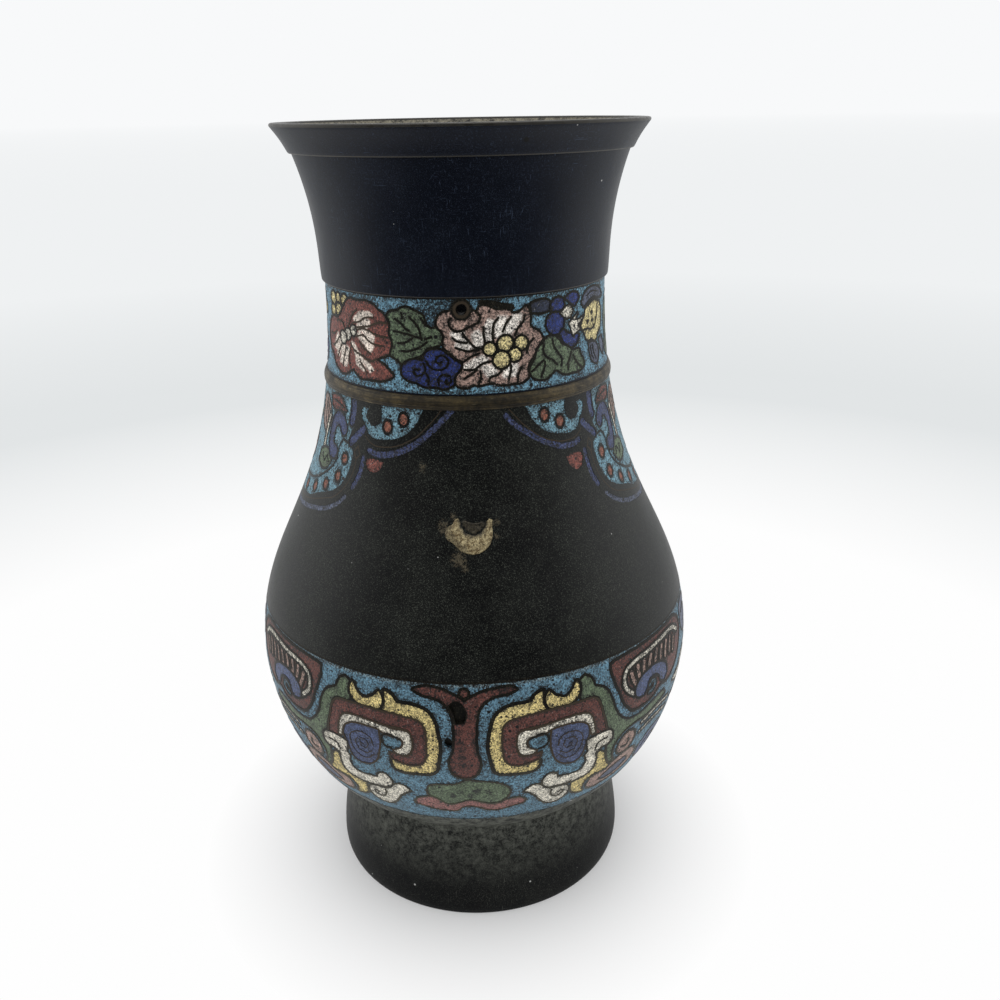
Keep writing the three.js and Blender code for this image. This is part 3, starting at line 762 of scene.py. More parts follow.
SIDE_LEAF = [(67, 226), (68.4, 231), (67.6, 236), (69.4, 241.6), (73.4, 245), (78, 244.6), (80.6, 240.6),
             (84, 238.4), (83.4, 234), (80, 231), (78.4, 226.4), (74, 223.4), (69.6, 223)]
SIDE_VEINS = [[(69.4, 226), (73, 232), (76.4, 238), (77.4, 242.4)], [(73, 232), (71.4, 236.4)],
              [(74.6, 234.6), (79.6, 235.6)], [(72, 229.6), (76, 228.4)]]
SIDE_CLOUD = [(83, 225), (85.4, 222.6), (90, 222.2), (94.6, 223.6), (96.4, 227), (95, 230.6), (91.4, 232.6),
              (90.4, 236), (87, 237), (84.6, 234), (85.6, 230), (83, 228)]
SIDE_CLOUD_WIRES = [[(86, 226), (89.4, 226.8), (91, 229.4)], [(93.4, 226), (90.6, 224.6)]]
SIDE_BUDS = [(86, 246.6, 2.2), (91.6, 246.2, 2.2), (89, 241.6, 2.2), (95, 242.4, 2.0)]


def neck_pattern():
    """Half of the flower band: peonies, leaves, clouds and yellow buds"""
    band = Pattern(NECK_RULER, NECK_TURN, NECK_BAND, NECK_FACET, strips=((251.0, 251.4),),
                   clean=(GREEN, PINK, YELLOW))
    band.dirt([(-12, 246.4, 4.2, 4), (9, 250, 3.4, 3), (-4, 250, 3.4, 3), (43, 221, 1.6, 3)])
    band.cell(SLATE, SLATE_CELL)
    band.cells(LILAC, LILAC_PETALS)
    band.wires(LILAC_WIRES, 0.45)
    band.cells(BLUE, BLUE_PETALS)
    band.cells(WHITE, WHITE_STARS, 0.7)
    band.cell(YELLOW, HEART)
    band.wires(HEART_WIRES)
    for spot in HEART_DOTS:
        band.add(BRONZE, circle(spot, 0.75), False)
    band.cell(GREEN, SIDE_LEAF)
    band.wires(SIDE_VEINS)
    band.cell(BLUE, SIDE_CLOUD)
    band.wires(SIDE_CLOUD_WIRES)
    band.dots(YELLOW, SIDE_BUDS + YELLOW_CLUSTER)
    band.cell(RED, RED_PEONY)
    band.pale(RED_PALE, 0.9)
    band.wires(RED_WIRES, 0.62, metal=WORN)
    band.dots(WHITE, [(-45.2, 238, 1.7), (-48.7, 236.2, 1.8), (-52, 234.7, 2.1)], 0.6)
    band.cell(GREEN, LEFT_LEAF)
    band.wires(LEFT_VEINS, 0.8)
    band.cell(BLUE, BLUE_CLOUD)
    band.wires(CLOUD_WIRES, 0.7)
    band.cell(GREEN, RIGHT_LEAF)
    band.wires(RIGHT_VEINS, 0.8)
    band.cell(PINK, PINK_PEONY)
    band.pale(PINK_PALE, 1.4)
    band.wires(PINK_WIRES, 0.8)
    band.dots(YELLOW, STAMENS)
    band.wire([(5, 249.9), (8, 249.6), (11, 248.8), (15.5, 247.8)], 1.8)
    band.add(BRONZE, circle(PIN_HOLE, 3.6), False)
    band.add(WORN, circle(PIN_HOLE, 2.8), False)
    band.add(HOLE, circle(PIN_HOLE, PIN_RADIUS, 24), False)
    return band


NOSE = [(-17.2, 123.6), (-13.6, 124.8), (-8.1, 124.2), (-3.8, 122.5), (-0.8, 120.7), (0.3, 119.8),
        (2.8, 121.2), (6.6, 123.1), (11, 123.9), (16.4, 124.4), (18.4, 123.4), (15.9, 122.4), (11, 121.8),
        (7.7, 120.1), (5.5, 117.5), (4.4, 113.3), (4, 107.7), (3.9, 102.9), (4.3, 98.7), (5.1, 95.2),
        (4.7, 91.1), (2.2, 87.9), (-0.2, 87.6), (-3.8, 89.3), (-5.1, 92.8), (-5, 95.9), (-3.5, 100.1),
        (-3.1, 104.3), (-3, 109.8), (-3.5, 114), (-4.9, 117.5), (-7, 120.1), (-10.9, 121.5), (-15.2, 122.5)]
NOSE_LOSS = [(-5, 118.4), (-2.9, 119.8), (-0.4, 118.8), (1, 114.7), (0.3, 111.9), (-2.6, 111.5),
             (-3.4, 115.4)]
GROUND_LOSS = [(-6.6, 105), (-5.6, 106.2), (-4.3, 105.2), (-4.1, 101.8), (-5.6, 102), (-6.8, 103)]
EYE_YELLOW = [(27.8, 121.3), (26.3, 120.8), (24.9, 119.9), (23.7, 118.2), (21.6, 117.7), (17.8, 117.5),
              (14.9, 116.8), (12.5, 115.6), (11.1, 113.9), (10.1, 111.3), (9.4, 108), (8.8, 104.1),
              (8.7, 101.3), (9.2, 97.5), (9.9, 93.7), (10.6, 90.8), (12.1, 89.4), (15.9, 88.7), (19.7, 88.4),
              (23.5, 88.5), (25.4, 89.4), (26.3, 91.3), (26.1, 93.2), (24.4, 92.6), (21.6, 91.7),
              (17.8, 91.7), (15.4, 92.7), (13.7, 94.8), (13.1, 97.6), (12.8, 101.3), (12.8, 106),
              (13.1, 109.2), (14.3, 111.3), (16.4, 112.5), (20.6, 113.2), (25.4, 113.8), (28.5, 114.4),
              (27.6, 117), (27.8, 119.9)]
HORN = [(30.1, 120.8), (31, 119.9), (32.1, 118.7), (34.1, 117.7), (35.7, 117.2), (37.9, 118.2), (39.5, 119.9),
        (40.5, 121.8), (41, 122), (41.7, 119.9), (41.4, 117.5), (40.2, 115.8), (38.8, 114.9), (32.6, 114.5),
        (30.2, 114.5), (29.3, 115.6), (28.7, 117.5), (29.1, 119.6)]
EYE_RED = [(26.1, 94.1), (24.4, 93.3), (21.6, 92.5), (18.2, 92.3), (15.7, 93.3), (14.3, 95.3), (13.7, 98),
           (13.4, 101.3), (13.4, 106), (13.7, 108.8), (14.8, 110.8), (16.9, 111.9), (20.6, 112.6),
           (25.4, 113.1), (42.1, 113.7), (46.9, 113.4), (48.8, 112), (49.8, 109.8), (50.7, 106.5),
           (51.7, 103.2), (52.4, 99.9), (52.9, 97.7), (48.5, 97.4), (47.7, 101.3), (47, 104.6), (46.1, 107.5),
           (44.6, 108.9), (42.1, 109.6), (38.8, 109.6), (32.6, 109.1), (27.9, 108.6), (21.6, 108.2),
           (19.2, 107.6), (18, 105.6), (17.7, 103.2), (17.8, 100.3), (18.6, 97.4), (20.1, 95.8), (23.5, 96.1),
           (25.4, 96.3), (26.8, 96.6)]
EYE_WHITE = [(48, 98.4), (47.4, 101.8), (46.6, 105.1), (45.6, 107.1), (44.1, 108.2), (40.2, 108.8),
             (35, 108.5), (27.9, 107.7), (24.4, 106.9), (20.6, 107), (19.1, 106.3), (18.5, 104.1),
             (18.5, 100.3), (19.3, 98.2), (20.7, 96.8), (24.4, 97.2), (25.1, 98), (24, 98.4), (22.1, 99.6),
             (21.3, 101.3), (21.6, 103.2), (22.8, 104.1), (25.4, 104.4), (29.2, 105.3), (30.2, 106),
             (35, 106.5), (39.8, 106.4), (43.1, 105.3), (45, 103.4), (46.2, 100.8), (46.7, 98.4)]
EYE_HOOK = [(22.6, 103.3), (24.8, 104.3), (27.6, 104.7), (29.2, 103.4), (29.4, 101), (28.2, 99.2), (26, 98.6)]
PUPIL = [(30.7, 105.4), (30.5, 100.3), (31.2, 96.5), (32.6, 92.2), (35, 89.4), (37.9, 88.2), (40.7, 88.2),
         (42.6, 89.6), (43.6, 92.2), (44.2, 95.1), (44.8, 97.5), (45.4, 98.9), (44.6, 103), (42.6, 104.8),
         (39.3, 105.8), (35, 105.8), (31.7, 105.6)]
PUPIL_SPIRALS = [
    [(37.2, 97.4), (38.4, 98.2), (38.4, 96.2), (36.4, 95.8), (35.2, 97.8), (36.2, 100), (39, 100.2),
     (40.6, 97.8), (39.6, 94.4), (36.6, 93.6), (34, 95.2)],
    [(33.2, 98), (33.8, 101), (36.4, 102.6), (40, 102.4), (42.4, 100.4), (42.8, 97), (41.4, 93), (38.8, 91),
     (35.6, 91.6), (33.4, 93.8)],
]
TENDRIL = [(45, 96), (48.3, 96.8), (52.6, 97), (55, 96.5), (56.4, 94.6), (56.4, 91.8), (55, 90.3),
           (51.7, 90.1), (50.2, 88.6), (49.4, 88.1), (50.1, 85.4), (50.2, 82.1), (49.7, 79.7), (47.8, 78),
           (44.9, 77), (40.1, 76.6), (34.9, 76.9), (31.3, 77.4), (29.4, 78.8), (28.6, 80.9), (29.2, 83),
           (30.6, 84.5), (32.3, 84.6), (33.6, 83.5), (34.2, 81.5), (36.3, 81.4), (40.1, 81.1), (43.5, 81.5),
           (45.1, 83), (45.9, 85.9), (45.1, 89.2), (46, 90.3), (45.2, 93.7)]
TENDRIL_WIRE = [(49.1, 90.3), (49.5, 92.7), (51.2, 93.4), (54.1, 93.7)]
LEAF_HOOK = [(21.8, 77.6), (24, 79.9), (26.3, 80.2), (28, 79), (29.8, 77), (32.5, 75.7), (36, 75.6),
             (39.4, 74.7), (40.6, 72.5), (40.7, 69.5), (39.2, 67.2), (36.5, 65.8), (34, 65.8), (31.5, 67.2),
             (29.2, 69.7), (27.3, 72.5), (25.9, 74.5), (23.5, 76.5)]
LEAF_SPIRAL = [(32.8, 75), (33, 72.6), (34, 70.7), (36.3, 69.7), (38.2, 70.7), (38.5, 72.1), (37.3, 73),
               (36.3, 72.1)]
YELLOW_WEDGE = [(50.9, 87.3), (52.1, 87.8), (54, 85.9), (54.9, 83.5), (56.3, 80.2), (58.7, 76.9),
                (57.8, 75.7), (54, 75.7), (50.1, 75.2), (48.2, 73.5), (47.5, 71.1), (47.8, 68.8),
                (49.2, 65.9), (45.4, 67.3), (42.9, 69.2), (42.2, 71.1), (41.6, 74), (41.4, 75.3),
                (44.9, 76.1), (48.7, 77.6), (50.6, 79.7), (51.2, 82.6), (50.9, 85.4)]
BROW = [(42.1, 121.8), (44.1, 123), (46, 121.8), (47.1, 119.9), (47.9, 118), (49.8, 117), (52.1, 115.6),
        (54.1, 112.7), (55.5, 108.9), (56.4, 105.6), (58.3, 102.2), (60.7, 99.4), (64.1, 97.2), (72, 96.4),
        (80, 97.6), (88, 97.4), (90, 95.4), (84, 94.6), (76, 93.4), (68, 93.6), (62, 92), (58.4, 86.6),
        (58.8, 81.6), (60.6, 78), (58.9, 78.3), (56.5, 82.6), (55.5, 86.4), (54.8, 88.9), (57.3, 90.9),
        (57.3, 94.2), (56.5, 96.5), (54.2, 98.4), (53.1, 101.8), (51.7, 106.5), (50.5, 110.8), (49.3, 113.4),
        (46.9, 114.6), (42.4, 114.6), (41.9, 115.6), (42.5, 118.4)]
WING = [(56.1, 123.6), (62, 124.2), (75, 124.4), (90, 124.4), (100, 123.8), (104.4, 121), (105.4, 116),
        (103, 110.6), (99, 105.6), (91, 101.8), (84, 103), (79.4, 100.9), (75.1, 100.2), (69.4, 100.3),
        (66.1, 101), (63.7, 103.2), (61.3, 106.5), (59.4, 111.3), (57.5, 116), (56.1, 120.8)]
WING_LINE = [(101.6, 117.6), (98, 120.4), (91, 121.5), (75.1, 120.9), (67, 120.1), (64.1, 119.1),
             (62.2, 117.5), (61.5, 114.6), (62.2, 111.8), (64.1, 109.4), (66.5, 107.5)]
WING_TEETH = [((65.3, 116.8), (67.7, 110.9)), ((69.1, 118), (69.9, 113)), ((73, 118.4), (72.7, 113.8)),
              ((77.5, 118.7), (76.1, 114.4)), ((81.8, 118.7), (80.2, 114.3)), ((85.8, 118.8), (84.2, 113.8)),
              ((89.8, 118.8), (88.2, 113.2)), ((93.8, 118.4), (92.2, 112.8)), ((97.4, 117.2), (96, 112.2))]
WING_CURL = [(67.5, 108), (69, 111), (71.6, 112.6), (75.1, 113.4), (80.3, 113.4), (84.6, 112.2),
             (88.4, 109.4), (89.4, 105.6), (87, 103.4), (84.2, 105), (82.8, 108), (79.4, 109.8),
             (75.4, 109.2), (74, 106.4), (72.7, 104.4), (70.3, 104.6), (68, 106)]
WING_SPIRAL = [(76.2, 106.4), (77.4, 107.6), (79.4, 107.2), (80, 105.2), (78.2, 103.8), (75.8, 103.6)]
SIDE_SCROLL = [(61.6, 86.6), (63.4, 89.4), (67, 90.2), (70.2, 87.6), (70, 83.2), (66.8, 80.4), (63, 81.2),
               (61.4, 84)]
SIDE_BARS = [[(74, 90.6), (80, 91.8), (88, 92), (96, 90.4)], [(74, 86), (80, 87.4), (88, 87.4), (96, 85.4)]]
LOW_LOBE = [(51, 73.4), (54, 74.2), (58.4, 74.4), (61, 76.8), (66, 78.6), (72, 78.8), (75.6, 75.6),
            (74.6, 70.6), (69, 67.4), (61, 66), (53.6, 66), (50.4, 69)]
LOW_CORE = [(56.4, 69.6), (59.6, 72.2), (64.4, 74.6), (69.4, 75.2), (71.2, 72.6), (67.4, 69.8), (61, 68.2)]
SIDE_LOBES = [
    [(98, 97), (104, 99.6), (110, 103.6), (117, 105.6), (123, 104.4), (125.6, 99.6), (122, 95.4),
     (114, 94.4), (106, 93)],
    [(78.4, 76), (83, 79.6), (90, 80.8), (96.4, 78), (97.6, 72.6), (93, 68.2), (85, 66.8), (79.6, 69.6)],
    [(108.6, 122.6), (112.6, 124.2), (120, 123.6), (127, 120.6), (130.6, 115), (128, 110.4), (121, 109.6),
     (114, 111), (109.4, 115)],
    [(101, 88), (108, 89.8), (116, 90.6), (122, 87), (122.6, 79), (118, 72), (110, 68.6), (103.6, 70.4),
     (101.6, 76.6), (103, 82.6)],
]
SIDE_LOBE_WIRES = [[(102, 97.6), (110, 99), (118, 101.6), (121.6, 99)],
                   [(82.4, 72.6), (86, 76.4), (91.6, 76), (92.4, 72), (88.6, 70.6)],
                   [(112.6, 119.6), (118, 120.4), (124.4, 117.4), (123.4, 113.2), (117.6, 113.6)],
                   [(107, 85), (113, 86.4), (118, 83), (117, 77), (111.4, 75), (108.4, 78.6)]]
CLOUD_CAP = [(-14.6, 78.5), (-13.7, 82.1), (-10.4, 83.2), (-6.7, 83.3), (-2.7, 84.2), (0.2, 86), (3.7, 85.5),
             (8.4, 84.7), (13, 82.9), (16, 79.8), (15.4, 76.3), (11.9, 72.8), (6, 73.2), (0.8, 75), (-4, 73),
             (-8.6, 71.6), (-12.6, 75)]
CLOUD_SMUDGES = [(-5.3, 77.4, 0.9), (-2, 79.6, 0.7), (1.2, 77.2, 0.6), (3.9, 80, 0.9), (8.2, 78.6, 0.9)]
MOUSTACHE = [(-20.7, 70.6), (-19.4, 73.6), (-16.6, 75), (-12.6, 75.4), (-9.7, 72.8), (-6.7, 71.2),
             (-3.8, 72.3), (1.4, 74.4), (6, 72.4), (10.7, 71.5), (15.4, 73.4), (20, 74.1), (22.3, 72.4),
             (22, 70.4), (17.7, 69.3), (13, 67.8), (8.4, 68), (3.7, 70.4), (0.8, 71), (-2.1, 70.2),
             (-4.4, 67.8), (-9.7, 67.6), (-15.5, 68.7)]


def belly_pattern():
    """Half of the mask band: one mask with its eyes, brows, wings and tendrils"""
    band = Pattern(BELLY_RULER, BELLY_TURN, BELLY_BAND, BELLY_FACET, mirror=0.0, strips=((126.1, 127),))
    band.dirt([(x, z, 0.5, 1.8) for x, z in ((-31, 107.4), (26.4, 101.4), (-46, 97.6), (37, 124.6),
                                             (-23, 124.4), (12, 124.8))])
    band.cell(GREEN, CLOUD_CAP, 0.8)
    band.cell(RUST, MOUSTACHE, 0.8)
    band.cell(PINK, LOW_LOBE, 0.9, both=True)
    band.cell(LILAC, LOW_CORE, 0.7, both=True)
    band.cell(YELLOW, YELLOW_WEDGE, 0.9, both=True)
    band.cell(GREEN, BROW, 1.0, both=True)
    band.cell(YELLOW, EYE_YELLOW, 1.35, both=True)
    band.cell(YELLOW, HORN, 1.1, both=True)
    band.cell(RED, EYE_RED, 0.75, both=True, rim=WORN)
    band.cell(WHITE, EYE_WHITE, 0.7, both=True, rim=WORN)
    band.cell(BLUE, PUPIL, 0.75, both=True, rim=WORN)
    band.wires(PUPIL_SPIRALS, 0.34, both=True, metal=WORN)
    band.wire(EYE_HOOK, 0.85, both=True)
    band.cell(WHITE, TENDRIL, 0.85, both=True)
    band.wire(TENDRIL_WIRE, 0.7, both=True)
    band.cell(WHITE, LEAF_HOOK, 0.85, both=True)
    band.wire(LEAF_SPIRAL, 0.7, both=True)
    band.cell(RED, WING, 1.2, both=True)
    band.ribbon(WHITE, WING_LINE, 1.5, 0.9, both=True)
    for top, bottom in WING_TEETH:
        middle = ((top[0] + bottom[0]) / 2 - 0.3, (top[1] + bottom[1]) / 2)
        band.ribbon(PINK, [top, middle, bottom], 1.7, 0.9, both=True)
    band.cell(BLUE, WING_CURL, 1.0, both=True)
    band.ribbon(TURQUOISE, WING_SPIRAL, 1.3, 0.8, both=True)
    band.cell(PINK, SIDE_SCROLL, 1.1, both=True)
    band.wire([(64, 84), (66, 83), (67.6, 84.8), (66.6, 86.8)], 1.0, both=True)
    for bar in SIDE_BARS:
        band.ribbon(WHITE, bar, 1.2, 0.8, both=True)
    for colour, lobe, wire in zip((WHITE, BLUE, LILAC, RED), SIDE_LOBES, SIDE_LOBE_WIRES):
        band.cell(colour, lobe, both=True)
        band.wire(wire, 1.0, both=True)
    band.cell(RED, NOSE, 1.0)
    band.cell(EMPTY, NOSE_LOSS, 0.35)
    band.add(EMPTY, smooth(GROUND_LOSS, True), False)
    band.dots(RED, [(0.4, 122.9, 1.3)], 1.0)
    band.dirt([(-1.8, 108, 0.8, 1.5), (-1.4, 104.4, 0.8, 1.5), (-1, 100.8, 0.8, 1.5), (-0.9, 97.2, 0.8, 1.5),
               (-0.8, 93.6, 0.8, 1.5)])
    band.dirt([(x, z, radius, 1.6) for x, z, radius in CLOUD_SMUDGES])
    return band


UPPER_LINE = [(9.6, 214.6), (15, 210), (21, 205.6), (27, 201.8), (33, 199.2), (39, 197.6), (45, 197),
              (49, 197.6)]
RIGHT_LINE = [(13.4, 211.6), (18, 208), (23, 205), (28, 202.4), (33.6, 200), (39, 198.4), (45, 197.9),
              (49.4, 198.8)]
UPPER_GROOVE = [(14.6, 214.2), (19, 210), (24.4, 205.8), (30, 202.6), (36, 200.6), (42, 199.8), (47.6, 200.2),
                (52, 202.4)]
LOWER_LINE = [(51.7, 194.6), (52.2, 190.5), (53.2, 186.6), (55.4, 182.8)]
LOWER_WORN = [(58.8, 178.8), (62.4, 175.8), (68, 173), (75, 171), (85, 169), (95, 167.6), (110, 166.8)]
LOWER_GROOVE = [(56, 196.4), (56, 190.6), (57.6, 185.6), (60.6, 181.4), (65.4, 177.6), (72, 175.4),
                (80, 173.2), (88, 171.2), (97, 170), (110, 169.4)]
UPPER_LOBE = [(22.5, 214.5), (26, 209), (29.4, 206), (34.2, 203.7), (40.4, 202.5), (46.6, 202.3), (50, 203.5),
              (52.5, 206.2), (54.8, 208.8), (55.5, 211), (53.5, 212.4), (51, 212), (52, 210), (50.8, 207.8),
              (47, 206.4), (44.2, 207.7), (43.2, 210.5), (43.8, 214.5)]
RED_FAN = [(40.5, 194.4), (43, 195), (46, 195), (49.3, 194.7), (50, 193), (48, 190.5), (45, 189.9),
           (42.3, 191.3)]
LOWER_LOBE = [(58.5, 195.5), (59, 190), (60.3, 186), (62.5, 182.8), (67, 179.5), (72.5, 177.6), (79, 175.6),
              (87.5, 172.7), (97, 171.6), (110, 170.7)]
LOWER_LOBE_TOP = [(110, 176.5), (97, 177.3), (88, 178.8), (80, 181.8), (74.5, 184.8), (70.8, 188),
                  (69, 192.5), (68.6, 195.6), (66.6, 198), (63.5, 197.7), (60.4, 197.4)]
LOBE_DOTS = [(63.6, 191.9, 1.8), (66.3, 184.6, 1.8), (74.3, 180, 1.7), (84.2, 176.9, 1.7), (96, 174.6, 1.6)]
SCAR_STAINS = [(-9.6, 177.7, 0.3, 1.6), (4.8, 177.9, 0.4, 1.8), (7, 178.6, 0.2, 1.4), (-13.2, 174, 1, 2.4),
               (6.2, 174, 0.3, 1.6), (-7.6, 164.2, 1.2, 2.6), (-5.6, 161.4, 0.4, 1.8),
               (-22.6, 194.6, 0.8, 1.8)]
SCROLL = [(67.2, 202.4), (69.4, 204.8), (72.8, 205.4), (76, 203.4), (77.6, 199.6), (77.4, 195.6),
          (75.2, 192.6), (72.8, 192.8)]
UPPER_CURL = [(45.8, 213.6), (46.2, 210), (48.2, 208.6), (50, 210.4), (49.2, 213)]
SLANT_BAR = [(53.4, 204.4), (57, 201.6), (60.6, 198.9)]
UPRIGHT_BAR = [(61.4, 215.4), (60.6, 211), (61.4, 206.2)]
KNOT = [(55.6, 198.6), (58, 196.2), (56.2, 193), (53.6, 195.4)]
LAPPET_PETALS = [
    [(80, 203), (84, 208), (90, 210.6), (96, 209.4), (96.6, 204), (91, 199), (84.6, 198.4)],
    [(66.6, 208.8), (70.4, 212), (77, 213), (83, 212), (80.6, 208.6), (74, 208)],
    [(99.4, 201), (104, 206), (107, 211), (110, 212.4)],
]
LAPPET_LINES = [[(84, 200.6), (87.4, 204.4), (92, 207.6)], [(82.6, 203.6), (86.4, 207), (91, 209.4)],
                [(88, 200.6), (91.4, 203.6), (94.6, 205.6)], [(69, 209.6), (74, 210.6), (79.6, 211)]]
LAPPET_STRIP = [(82.6, 204.4), (84.4, 199), (84.8, 193), (83.6, 188.4)]
LAPPET_BUD = [(74.4, 188.6), (78, 191.6), (83, 192), (88, 190), (88.6, 186.6), (83, 184.8), (77.6, 185.6)]
LAPPET_CENTRE = [(110, 199.6), (104.6, 196), (101.4, 190), (103.4, 184.4), (110, 181.6)]


def across(half, axis):
    """Outline that is the same on both sides of an axis, from its left half, which ends on the axis"""
    return half + [(2 * axis - x, z) for x, z in half[::-1] if x < axis - 0.01]


def shoulder_pattern():
    """Half of the shoulder: one cloud-collar lappet between the planes of the two handles"""
    axis = SHOULDER_RULER * math.pi / 2

    def lean(curve):
        """The lappets as cast hang lower at one handle than at the other"""
        low = np.clip((196 - curve[:, 1]) / 10, 0, 1)
        drop = -1.6 * low * np.cos(curve[:, 0] / SHOULDER_RULER)
        return curve + np.column_stack([np.zeros(len(curve)), drop])

    band = Pattern(SHOULDER_RULER, SHOULDER_TURN, SHOULDER_BAND, SHOULDER_FACET, ground=BRONZE, mirror=axis,
                   lean=lean)
    field = [(61.5, 215), (59.5, 206), (63, 199)] + [(x, z) for x, z in LOWER_LOBE_TOP[::-1] if x > 63]
    field += [(2 * axis - x, z) for x, z in reversed(field)]
    band.add(TURQUOISE, smooth(field, True), False, wall=1.1)
    band.ribbon(BLUE, RIGHT_LINE, 2.1, 0.45)
    band.ribbon(BLUE, [(2 * axis - x, z) for x, z in UPPER_LINE], 2.3, 0.45)
    band.ribbon(BLUE, LOWER_LINE, 2.3, 0.45, both=True)
    band.ribbon(LILAC, across(LOWER_WORN, axis), 1.7, 0.45)
    band.wire(UPPER_GROOVE, 0.36, both=True, metal=WORN)
    band.wire(across(LOWER_GROOVE, axis), 0.36, metal=WORN)
    band.add(WORN, smooth(KNOT, True), True)
    band.add(BRONZE, grown(smooth(KNOT, True), True, -0.5), True)
    band.cell(RED, RED_FAN, 0.7, both=True)
    band.cell(TURQUOISE, UPPER_LOBE, 0.9, both=True)
    band.wire(UPPER_CURL, 0.5, both=True)
    band.dots(RUST, [(31.9, 210.2, 1.9), (39.8, 207.0, 1.9)], 1.0, both=True)
    band.cell(TURQUOISE, across(LOWER_LOBE, axis) + across(LOWER_LOBE_TOP[::-1], axis)[::-1], 0.9)
    band.dots(RUST, LOBE_DOTS, 0.9, both=True)
    band.dots(RUST, [(axis, 173.7, 1.6)], 0.9)
    for petal, colour in zip(LAPPET_PETALS[:2], (PINK, RED)):
        band.cell(colour, petal, both=True)
    band.wires(LAPPET_LINES, 0.55, both=True)
    band.cell(YELLOW, across(LAPPET_PETALS[2], axis))
    band.cell(RED, across(LAPPET_CENTRE, axis))
    band.dots(PINK, [(axis, 190.4, 2.4)])
    band.ribbon(WHITE, LAPPET_STRIP, 2.0, 0.8, both=True)
    band.cell(GREEN, LAPPET_BUD, both=True)
    band.wire([(76.6, 187.6), (79.4, 190), (81.8, 187), (84.6, 189.6)], 0.5, both=True)
    band.ribbon(BLUE, SCROLL, 4.6, 0.8, both=True)
    band.ribbon(BLUE, SLANT_BAR, 2.9, 0.8, both=True)
    band.ribbon(BLUE, UPRIGHT_BAR, 3.6, 0.8, both=True)
    band.dirt([(x + turn, z, radius, fade) for x, z, radius, fade in SCAR_STAINS for turn in (0, 2 * axis)])
    return band


SHEETS = {}


def sheet(name):
    """Triangulated pattern of a band, made once"""
    makers = {"neck": neck_pattern, "belly": belly_pattern, "shoulder": shoulder_pattern}
    if name not in SHEETS:
        SHEETS[name] = Sheet(makers[name]())
    return SHEETS[name]


# Finishes

DIRT = linear(28, 27, 25)


class Recipe:
    """Short hand for laying out the nodes of a material"""

    def __init__(self, name):
        self.material = bpy.data.materials.new(name)
        self.material.use_nodes = True
        self.tree = self.material.node_tree
        self.shader = self.tree.nodes["Principled BSDF"]
        self.coords = self.node("ShaderNodeTexCoord").outputs["Object"]

    def node(self, kind, links=(), **settings):
        node = self.tree.nodes.new(kind)
        for key, value in settings.items():
            setattr(node, key, value)
        for socket, value in dict(links).items():
            self.put(node.inputs[socket], value)
        return node

    def put(self, socket, value):
        if isinstance(value, bpy.types.NodeSocket):
            self.tree.links.new(value, socket)
        elif isinstance(value, tuple) and len(value) == 3 and socket.type == "RGBA":
            socket.default_value = (*value, 1.0)
        else:
            socket.default_value = value

    def math(self, operation, a, b=0.0):
        return self.node("ShaderNodeMath", {0: a, 1: b}, operation=operation).outputs[0]

    def times(self, a, b):
        return self.math("MULTIPLY", a, b)

    def noise(self, size_mm, detail=2.0, rough=0.6, squash=None, warp=0.0):
        vector = self.coords
        if squash:
            vector = self.node("ShaderNodeMapping", {"Vector": vector, "Scale": squash}).outputs[0]
        links = {"Vector": vector, "Scale": 1 / (size_mm * MM), "Detail": detail, "Roughness": rough,
                 "Distortion": warp}
        return self.node("ShaderNodeTexNoise", links).outputs["Fac"]

    def spots(self, size_mm, share, radius, soft=0.12):
        """Scattered spots: one in some cells of a size, with a radius as a share of the cell"""
        cell = self.node("ShaderNodeTexVoronoi", {"Vector": self.coords, "Scale": 1 / (size_mm * MM)})
        pick = self.node("ShaderNodeSeparateColor", {0: cell.outputs["Color"]})
        chosen = self.math("LESS_THAN", pick.outputs[0], share)
        reach = self.times(pick.outputs[1], radius)
        past = self.math("SUBTRACT", cell.outputs["Distance"], reach)
        return self.times(chosen, self.span(past, soft, 0.0))

    def span(self, value, low, high, to_low=0.0, to_high=1.0):
        links = {"Value": value, "From Min": low, "From Max": high, "To Min": to_low, "To Max": to_high}
        return self.node("ShaderNodeMapRange", links).outputs[0]

    def mix(self, share, a, b, blend="MIX"):
        node = self.node("ShaderNodeMix", data_type="RGBA", blend_type=blend)
        colours = [s for s in node.inputs if s.type == "RGBA"]
        self.put(node.inputs[0], share)
        self.put(colours[0], a)
        self.put(colours[1], b)
        return next(s for s in node.outputs if s.type == "RGBA")

    def scaled(self, colour, factor):
        """Colour made brighter or darker"""
        node = self.node("ShaderNodeVectorMath", operation="SCALE")
        self.put(node.inputs[0], colour)
        self.put(node.inputs["Scale"], factor)
        return node.outputs[0]

    def seen(self):
        """Whether the eye, a reflection or a view through glass meets the surface"""
        path = self.node("ShaderNodeLightPath").outputs
        through = self.math("MAXIMUM", path["Is Glossy Ray"], path["Is Transmission Ray"])
        return self.math("MAXIMUM", path["Is Camera Ray"], through)

    def tint(self, name):
        return self.node("ShaderNodeAttribute", attribute_name=name).outputs["Fac"]

    def height(self):
        split = self.node("ShaderNodeSeparateXYZ", {0: self.coords})
        return split.outputs["Z"]

    def relief(self, value, depth_mm, strength=1.0, normal=None):
        links = {"Height": value, "Distance": depth_mm * MM, "Strength": strength}
        if normal is not None:
            links["Normal"] = normal
        return self.node("ShaderNodeBump", links).outputs[0]

    def finish(self, colour, roughness, normal=None, metallic=0.0, specular=0.5):
        self.put(self.shader.inputs["Base Color"], colour)
        self.put(self.shader.inputs["Roughness"], roughness)
        self.put(self.shader.inputs["Metallic"], metallic)
        self.shader.inputs["Specular IOR Level"].default_value = specular
        if normal is not None:
            self.put(self.shader.inputs["Normal"], normal)
        return self.material


